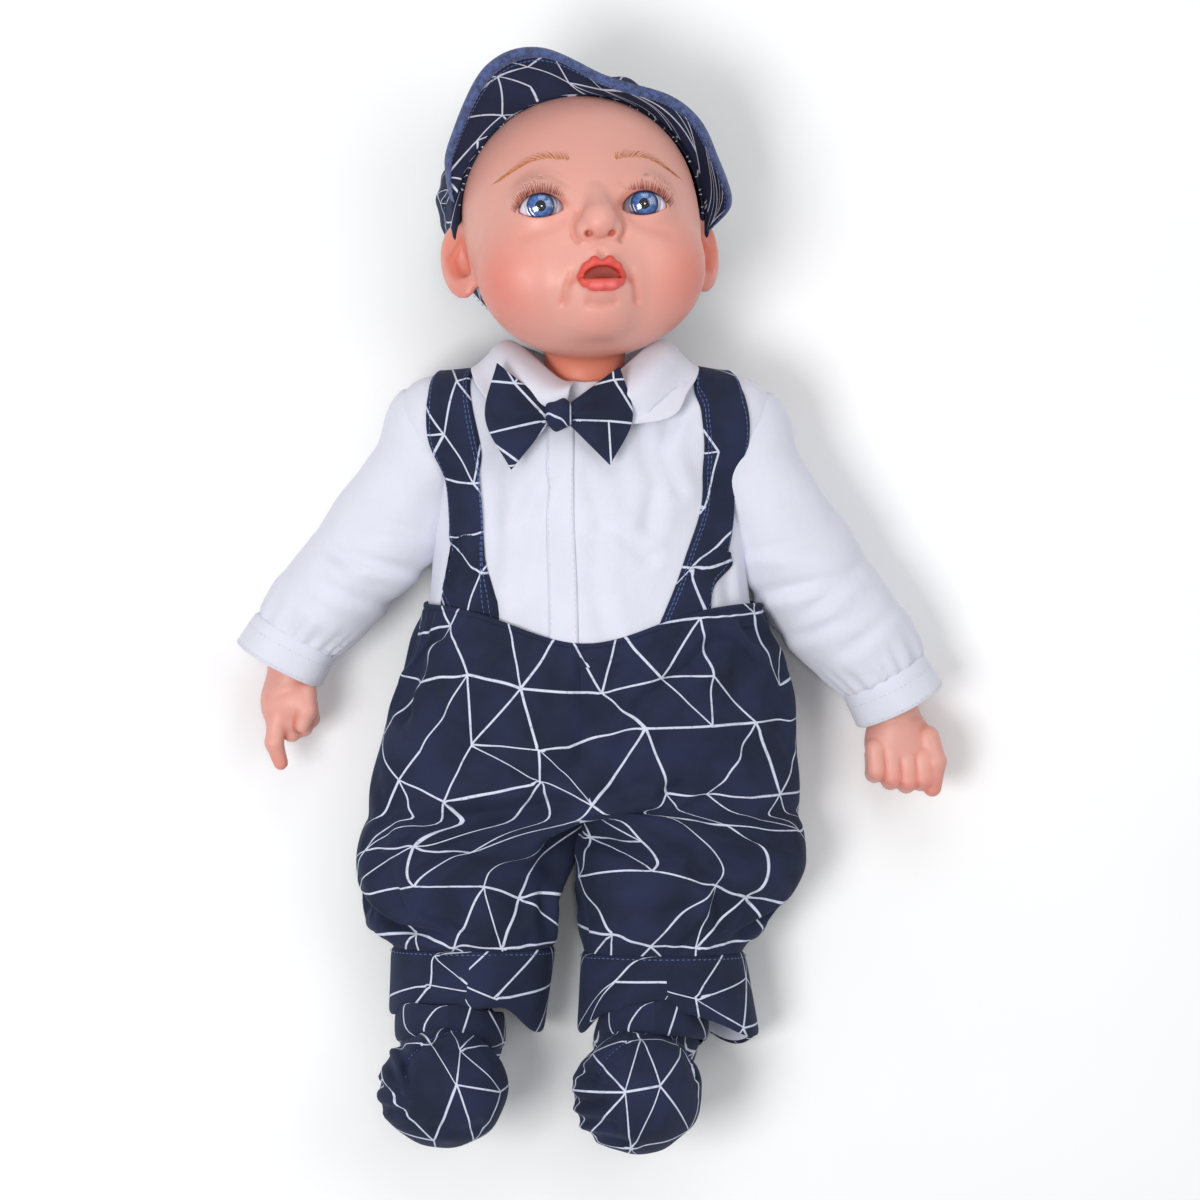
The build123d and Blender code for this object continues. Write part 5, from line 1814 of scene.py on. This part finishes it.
def set_uv(piece, uv):
    """Gives every corner of the mesh the UV of its point."""
    layer = piece.data.uv_layers.get("UVMap") or piece.data.uv_layers.new(name="UVMap")
    corners = np.empty(len(piece.data.loops), int)
    piece.data.loops.foreach_get("vertex_index", corners)
    layer.data.foreach_set("uv", uv[corners].reshape(-1))


def make_shin(side):
    """Vinyl lower leg with its foot, which only shows between the hem and the bootie."""
    toe, radii, ankle = FOOT[side]

    def shin_field(p):
        d = limb(p, ANKLE[side] + P(0, 48, 4), ANKLE[side] + P(0, 2, 1), 17.5, 14.5)
        d = smin(d, egg(p, ankle + P(0, -4, -2), (17, 14, 16)), 6)
        return smin(d, egg(p, toe, radii * 0.84), 6)

    shin = field_piece(f"{side}_vinyl_shin", shin_field, toe - P(34, 32, 54), toe + P(38, 92, 30), 2.0)
    p = points_of(shin)
    colour = np.tile(SKIN_TONE, (len(p), 1))
    ankle_fold = bell(p[:, 1] - ANKLE[side][1] - 6, 5)
    paint(shin, blend_colour(colour, BLUSH, 0.3 * ankle_fold))
    finish_piece(shin, SKIN, "vinyl_skin", f"{side}_lower_leg", body=f"{side}_foot")


def make_bootie(side):
    toe, _, ankle = FOOT[side]
    boot = field_piece(
        f"{side}_soft_bootie", lambda p: bootie_field(p, side), toe - P(34, 32, 56), toe + P(34, 42, 32), 1.5
    )
    p = points_of(boot)
    set_uv(boot, around_uv(p, toe - P(0, 0, 6), P(0.1, 0.05, 1), 29) + P(400 if side == "left" else 520, 90))
    finish_piece(boot, NAVY, "navy_print", f"{side}_bootie", body=f"{side}_foot")
    make_shin(side)
    line = spline([(x, y, 70) for x, y in TOE_SEAM[side]], 60)
    line = drop(lambda q: bootie_field(q, side), line, P(0, 0, -1), 0.05)
    normal = slope(lambda q: bootie_field(q, side), line)
    stitches(
        f"{side}_bootie_stitches",
        [(line, normal)],
        NAVY_THREAD,
        "navy_print",
        f"{side}_foot",
        1.0,
        0.9,
        0.2,
        0.05,
    )
    shift, lean, sway = (0, 4.5, -1.6) if side == "right" else (3, 6.0, 1.6)
    turn = np.linspace(0, 2 * np.pi, 97)
    rows = []
    for at, out in [
        (8.0, -1.6), (8.6, -0.4), (8.2, 0.7), (6, 1.0), (0, 1.4), (-4, 1.2), (-6, 0.4), (-6.8, -1.2),
    ]:
        x = ankle[0] + shift + (22.2 + out) * np.sin(turn)
        z = ankle[2] + 5 + (22.5 + out) * np.cos(turn)
        y = ankle[1] + 3.0 + at + lean * np.cos(turn) + sway * np.sin(turn) + 0.4 * np.sin(5 * turn)
        rows.append(np.column_stack([x, y, np.maximum(z + 0.3 * np.sin(6 * turn + at), 1)]))
    rows = np.array(rows)
    uv = np.dstack([arc_lengths(rows) + 60, rows[:, :, 1] + 333])
    band = patch_piece(f"{side}_ankle_band", [(rows, uv, True)])
    soften(band)
    finish_piece(band, NAVY, "navy_print", f"{side}_bootie_cuff", body=f"{side}_foot")


# ---------------------------------------------------------------- cap

# The cap's axis towards the face and its way up, both in the head's frame, and its rim
CAP_OUT = P(0, -0.454, 0.891)
CAP_UP = P(0, 0.891, 0.454)
CAP_R = 51.0
CAP_MIDDLE = P(0.6, 57, 20) - CAP_R * CAP_UP
# Width of the bill and how far it leans out, each as (turn round the rim in degrees, value)
BILL_TABLE = [
    (-82, 0.5), (-72, 5), (-58, 12), (-44, 19), (-28, 25), (-14, 22.5), (-2, 15.5), (8, 10.5), (20, 9.5),
    (32, 11), (46, 10.5), (62, 10), (76, 10), (88, 8), (98, 0.5),
]
BILL_LEAN = [(-82, 12), (-58, 26), (-30, 30), (-10, 26), (4, 44), (20, 50), (40, 40), (70, 30), (98, 14)]


def cap_point(turn, radius, height):
    """A place on the cap, in the world: round its edge, out from its axis and towards the face."""
    turn, radius, height = np.broadcast_arrays(turn, radius, height)
    side = np.sin(turn)[..., None] * P(1.035, 0, 0)
    around = np.cos(turn)[..., None] * CAP_UP + side
    local = CAP_MIDDLE + radius[..., None] * around + height[..., None] * CAP_OUT
    return from_head(local.reshape(-1, 3)).reshape(local.shape)


# The crown from its rim to its back as (share of the way, radius, height towards the face)
CROWN_TABLE = [
    (0.0, 49.6, 1.0),
    (0.06, 51.4, -3),
    (0.14, 53.0, -8.5),
    (0.2, 53.6, -11),
    (0.3, 56.2, -19),
    (0.42, 55.6, -28),
    (0.56, 50.5, -38),
    (0.7, 40.0, -46),
    (0.85, 22.0, -52),
    (1.0, 0.2, -54),
]


def make_cap():
    count, rings = 200, 84
    turn = np.linspace(0, 2 * np.pi, count + 1)[None, :]
    v = np.linspace(0, 1, rings)
    row = table(v, CROWN_TABLE)
    radius, height = row[:, 0][:, None], row[:, 1][:, None]
    puff = (step(v, 0.16, 0.3) * (1 - step(v, 0.55, 0.95)))[:, None]
    pleat = 1.25 * np.cos(13 * turn + 2.2 * np.sin(3 * turn + 1))
    pleat = pleat + 0.8 * np.cos(29 * turn + 1.5 * np.sin(5 * turn))
    gather = bell(v - 0.215, 0.06)[:, None]
    wide = radius + puff * (0.55 * pleat + 1.6 * np.cos(2 * turn + 0.6)) + gather * 0.8 * pleat
    wide = wide + 2.6 * puff * bell(turn - 0.62, 0.25)
    behind = np.clip(-np.cos(turn), 0, 1)
    wide = wide * (1 - 0.115 * behind * (1 - np.abs(2 * v[:, None] - 1) * 0.4))
    grid = cap_point(turn, wide, height + puff * 0.8 * np.cos(5 * turn + 3))
    flat = grid.reshape(-1, 3)
    bump = 0.5 * ripple(flat, 17, 41)
    cap_middle = from_head(CAP_MIDDLE[None])[0]
    flat = flat + unit(flat - cap_middle) * (bump * np.repeat(puff[:, 0], count + 1))[:, None]
    flat[:, 2] = np.maximum(flat[:, 2], 1.0)
    grid = flat.reshape(grid.shape)
    reach = 108 - 105 * v[:, None]
    uv = np.dstack([reach * np.cos(turn), reach * np.sin(turn)]) + P(900, 300)
    crown = patch_piece("cap_cloth", [(grid, uv, False)])
    modify(crown, "SOLIDIFY", thickness=1.0 * MM, offset=-1.0)
    bake(crown)
    p = points_of(crown)
    p[:, 2] = np.maximum(p[:, 2], 0.6)
    set_points(crown, p)
    finish_piece(crown, NAVY_SMALL, "navy_print", "cap_crown", body="head")
    profile = [
        (50.0, 1.2), (50.6, 2.0), (51.8, 2.0), (52.5, 1.2), (53.0, -2), (53.6, -6.0), (53.9, -8.4),
        (53.4, -9.4), (52.4, -9.6),
    ]
    rows = np.array(
        [cap_point(turn[0], np.array(r) + 0.25 * np.sin(9 * turn[0]), np.array(h)) for r, h in profile]
    )
    heights = np.array([height for _, height in profile])
    uv = np.dstack([arc_lengths(rows) + 700, np.repeat(heights[:, None], count + 1, axis=1)])
    band = patch_piece("cap_side_band", [(rows, uv, False)])
    finish_piece(band, NAVY_SMALL, "navy_print", "cap_band", body="head")
    ring = cap_point(turn[0], np.array(profile[6][0] + 0.3), np.array(profile[6][1] - 0.6))
    lines = [(ring, unit(ring - cap_middle))]
    stitches("cap_band_stitches", lines, NAVY_THREAD, "navy_print", "head", 1.6, 0.9, 0.2, 0.02)
    make_bill()


def bill_rows(profile, columns=150):
    """Rows of the bill: each profile entry is its share of the width and its lift off the underside."""
    turn = np.linspace(-82, 98, columns)
    width = table(turn, BILL_TABLE)[:, 0]
    width = width + 0.8 * np.sin(np.radians(turn) * 9) * step(width, 4, 10)
    lean = np.radians(table(turn, BILL_LEAN)[:, 0])
    angle = np.radians(turn)
    rows = []
    for share, lift in profile:
        out = width * share
        curve = 1.8 * np.sin(np.pi * min(share, 1)) * step(width, 3, 12)
        wave = 1.1 * np.sin(angle * 6 + 0.5) * share
        radius = 51.6 + out * np.cos(lean) - (lift + curve + wave) * np.sin(lean)
        height = 1.4 + out * np.sin(lean) + (lift - curve + wave) * np.cos(lean)
        rows.append(cap_point(angle, radius, height))
    return np.array(rows), width


def make_bill():
    thick = 1.5
    under = [(s, thick) for s in np.linspace(0, 0.84, 14)]
    edge = [
        (0.88, thick + 0.1), (0.90, thick + 0.9), (0.94, thick + 1.35), (0.98, thick + 1.2),
        (1.02, thick + 0.4), (1.03, 0), (1.01, -thick), (0.97, -thick - 0.6), (0.92, -thick - 0.5),
        (0.88, -thick),
    ]
    over = [(s, -thick) for s in np.linspace(0.84, 0.0, 14)]
    rows, width = bill_rows(under + edge + over)
    shares = np.array([s for s, _ in under + edge + over])
    uv = np.dstack([arc_lengths(rows) + 1200, shares[:, None] * width[None, :] + 77])
    bill = patch_piece("cap_soft_bill", [(rows, uv, False)])
    finish_piece(bill, NAVY_SMALL, "navy_print", "cap_bill", body="head")
    roll, _ = bill_rows([
        (0.885, thick + 0.55), (0.90, thick + 1.0), (0.94, thick + 1.45), (0.98, thick + 1.3),
        (1.02, thick + 0.5), (1.035, 0), (1.015, -thick),
    ])
    uv = np.dstack([arc_lengths(roll), roll[:, :, 2]])
    piping = patch_piece("cap_bill_edge", [(roll, uv, False)])
    finish_piece(piping, DENIM, "navy_print", body="head")
    normals = unit(roll[2] - roll[5])
    rows, _ = bill_rows([(0.82, thick + 0.1), (0.82, thick + 1.1)])
    lines = [(roll[1], normals), (roll[3], normals), (rows[0], rows[1] - rows[0])]
    stitches("cap_bill_stitches", lines, NAVY_THREAD, "navy_print", "head", 1.3, 0.6, 0.22, 0.06)


def denim_material():
    s = Shader("blue_edge_cloth", Roughness=0.85, Sheen_Weight=0.25)
    where = s.scaled(s.place(), 1000.0)
    blotch = s.noise(where, 0.4, 3)
    grain = s.noise(where, 2.5, 2)
    colour = s.mix(s.spread(blotch, 0.35, 0.65), linear(36, 44, 78), linear(66, 82, 134))
    colour = s.mix(s.spread(grain, 0.4, 0.75, 0, 0.5), colour, linear(110, 128, 176))
    return s.finish(Base_Color=colour, Normal=s.bump(grain, 0.0001, 0.6))


DENIM = denim_material()


# ---------------------------------------------------------------- CAD parts inside

def plain_material(name, dark, light, roughness, metallic=0.0, grain=900.0, bump=0.00002):
    s = Shader(name, Metallic=metallic)
    fine = s.noise(s.place(), grain, 3)
    slow = s.noise(s.place(), 60, 3)
    colour = s.mix(s.spread(slow, 0.3, 0.7), linear(*dark), linear(*light))
    rough = s.spread(slow, 0.3, 0.7, roughness - 0.06, roughness + 0.08)
    return s.finish(Base_Color=colour, Roughness=rough, Normal=s.bump(fine, bump, 0.5))


# Slots of the hidden CAD parts as (slot, dark, light, roughness, metallic, grain, bump height)
INSIDE_LOOKS = [
    ("case_plastic", (228, 226, 220), (238, 237, 232), 0.42),
    ("button_plastic", (196, 44, 52), (210, 54, 60), 0.35),
    ("switch_plastic", (28, 28, 30), (40, 40, 43), 0.4),
    ("speaker_metal", (120, 122, 126), (160, 162, 166), 0.35, 0.9),
    ("speaker_paper", (38, 36, 34), (58, 55, 52), 0.85, 0.0, 1600, 0.0001),
    ("cell_steel", (170, 172, 176), (205, 207, 210), 0.24, 1.0),
    ("contact_brass", (186, 150, 82), (214, 182, 112), 0.3, 1.0),
    ("screw_steel", (150, 152, 156), (190, 192, 196), 0.28, 1.0),
    ("dome_rubber", (150, 150, 150), (176, 176, 176), 0.7),
    ("tie_nylon", (222, 222, 216), (238, 238, 233), 0.45),
]


def give_inside_materials():
    made = {look[0]: plain_material(*look) for look in INSIDE_LOOKS}
    made |= {
        "stuffing": plain_material("white_stuffing", (214, 212, 206), (240, 239, 236), 0.9, 0.0, 260, 0.0004),
        "cloth_skin": plain_material("body_cloth", (206, 160, 134), (222, 178, 152), 0.85, 0.0, 1400, 0.0001),
        "board": plain_material("circuit_board", (18, 78, 46), (26, 96, 56), 0.4),
        "vinyl_skin": SKIN,
        "fastener_tape": LINING,
        "shirt_cloth": WHITE,
        "navy_print": NAVY,
        "eye_plastic": EYE,
        "clear_cornea": CLEAR,
    }
    for name, node in frame["nodes"].items():
        for holder in node.material_slots:
            slot = holder.material.name.split(".")[0]
            if slot in made:
                holder.link = "DATA"
                holder.material = made[slot]
            elif holder.material not in made.values():
                print("no material for", name, holder.material.name)


make_waist(make_trousers())
for leg_side in ("right", "left"):
    make_hem(leg_side)
    make_bootie(leg_side)
make_cap()
give_inside_materials()


# ---------------------------------------------------------------- stage

def area_light(name, place, aim, size, watts):
    data = bpy.data.lights.new(name, "AREA")
    data.size = size
    data.energy = watts
    light = bpy.data.objects.new(name, data)
    light.location = place
    light.rotation_euler = (Vector(aim) - Vector(place)).to_track_quat("-Z", "Y").to_euler()
    bpy.context.scene.collection.objects.link(light)


def make_stage():
    floor = flat_square("floor", 2000, -0.2)
    s = Shader("pale_floor", Roughness=0.9)
    tint = s.noise(s.place(), 6, 2)
    floor.data.materials.append(
        s.finish(Base_Color=s.mix(s.spread(tint, 0.3, 0.7), (0.93, 0.93, 0.94), (0.95, 0.95, 0.95)))
    )
    world = bpy.data.worlds.new("soft_white")
    world.use_nodes = True
    background = world.node_tree.nodes["Background"]
    background.inputs["Color"].default_value = (0.96, 0.98, 1.0, 1)
    background.inputs["Strength"].default_value = 0.40
    bpy.context.scene.world = world
    bpy.context.scene.view_settings.view_transform = "Standard"
    bpy.context.scene.view_settings.look = "None"
    area_light("key", (-0.55, -0.25, 1.25), (0, 0, 0.05), 0.5, 10.2)
    area_light("fill", (0.75, 0.35, 1.15), (0, 0, 0.05), 0.7, 3.4)
    area_light("top", (0.05, 0.9, 0.9), (0, 0.05, 0.05), 0.6, 2.5)
    area_light("ring_flash", (0.06, 0.05, 1.45), (0, 0.1, 0.1), 0.12, 1.1)
    camera_data = bpy.data.cameras.new("camera")
    camera_data.lens = 104.3
    camera_data.sensor_width = 36
    camera_data.clip_end = 20
    camera = bpy.data.objects.new("camera", camera_data)
    camera.location = (0.0063, 0.0084, 1.5)
    bpy.context.scene.collection.objects.link(camera)
    bpy.context.scene.camera = camera


make_stage()
bpy.context.view_layer.update()
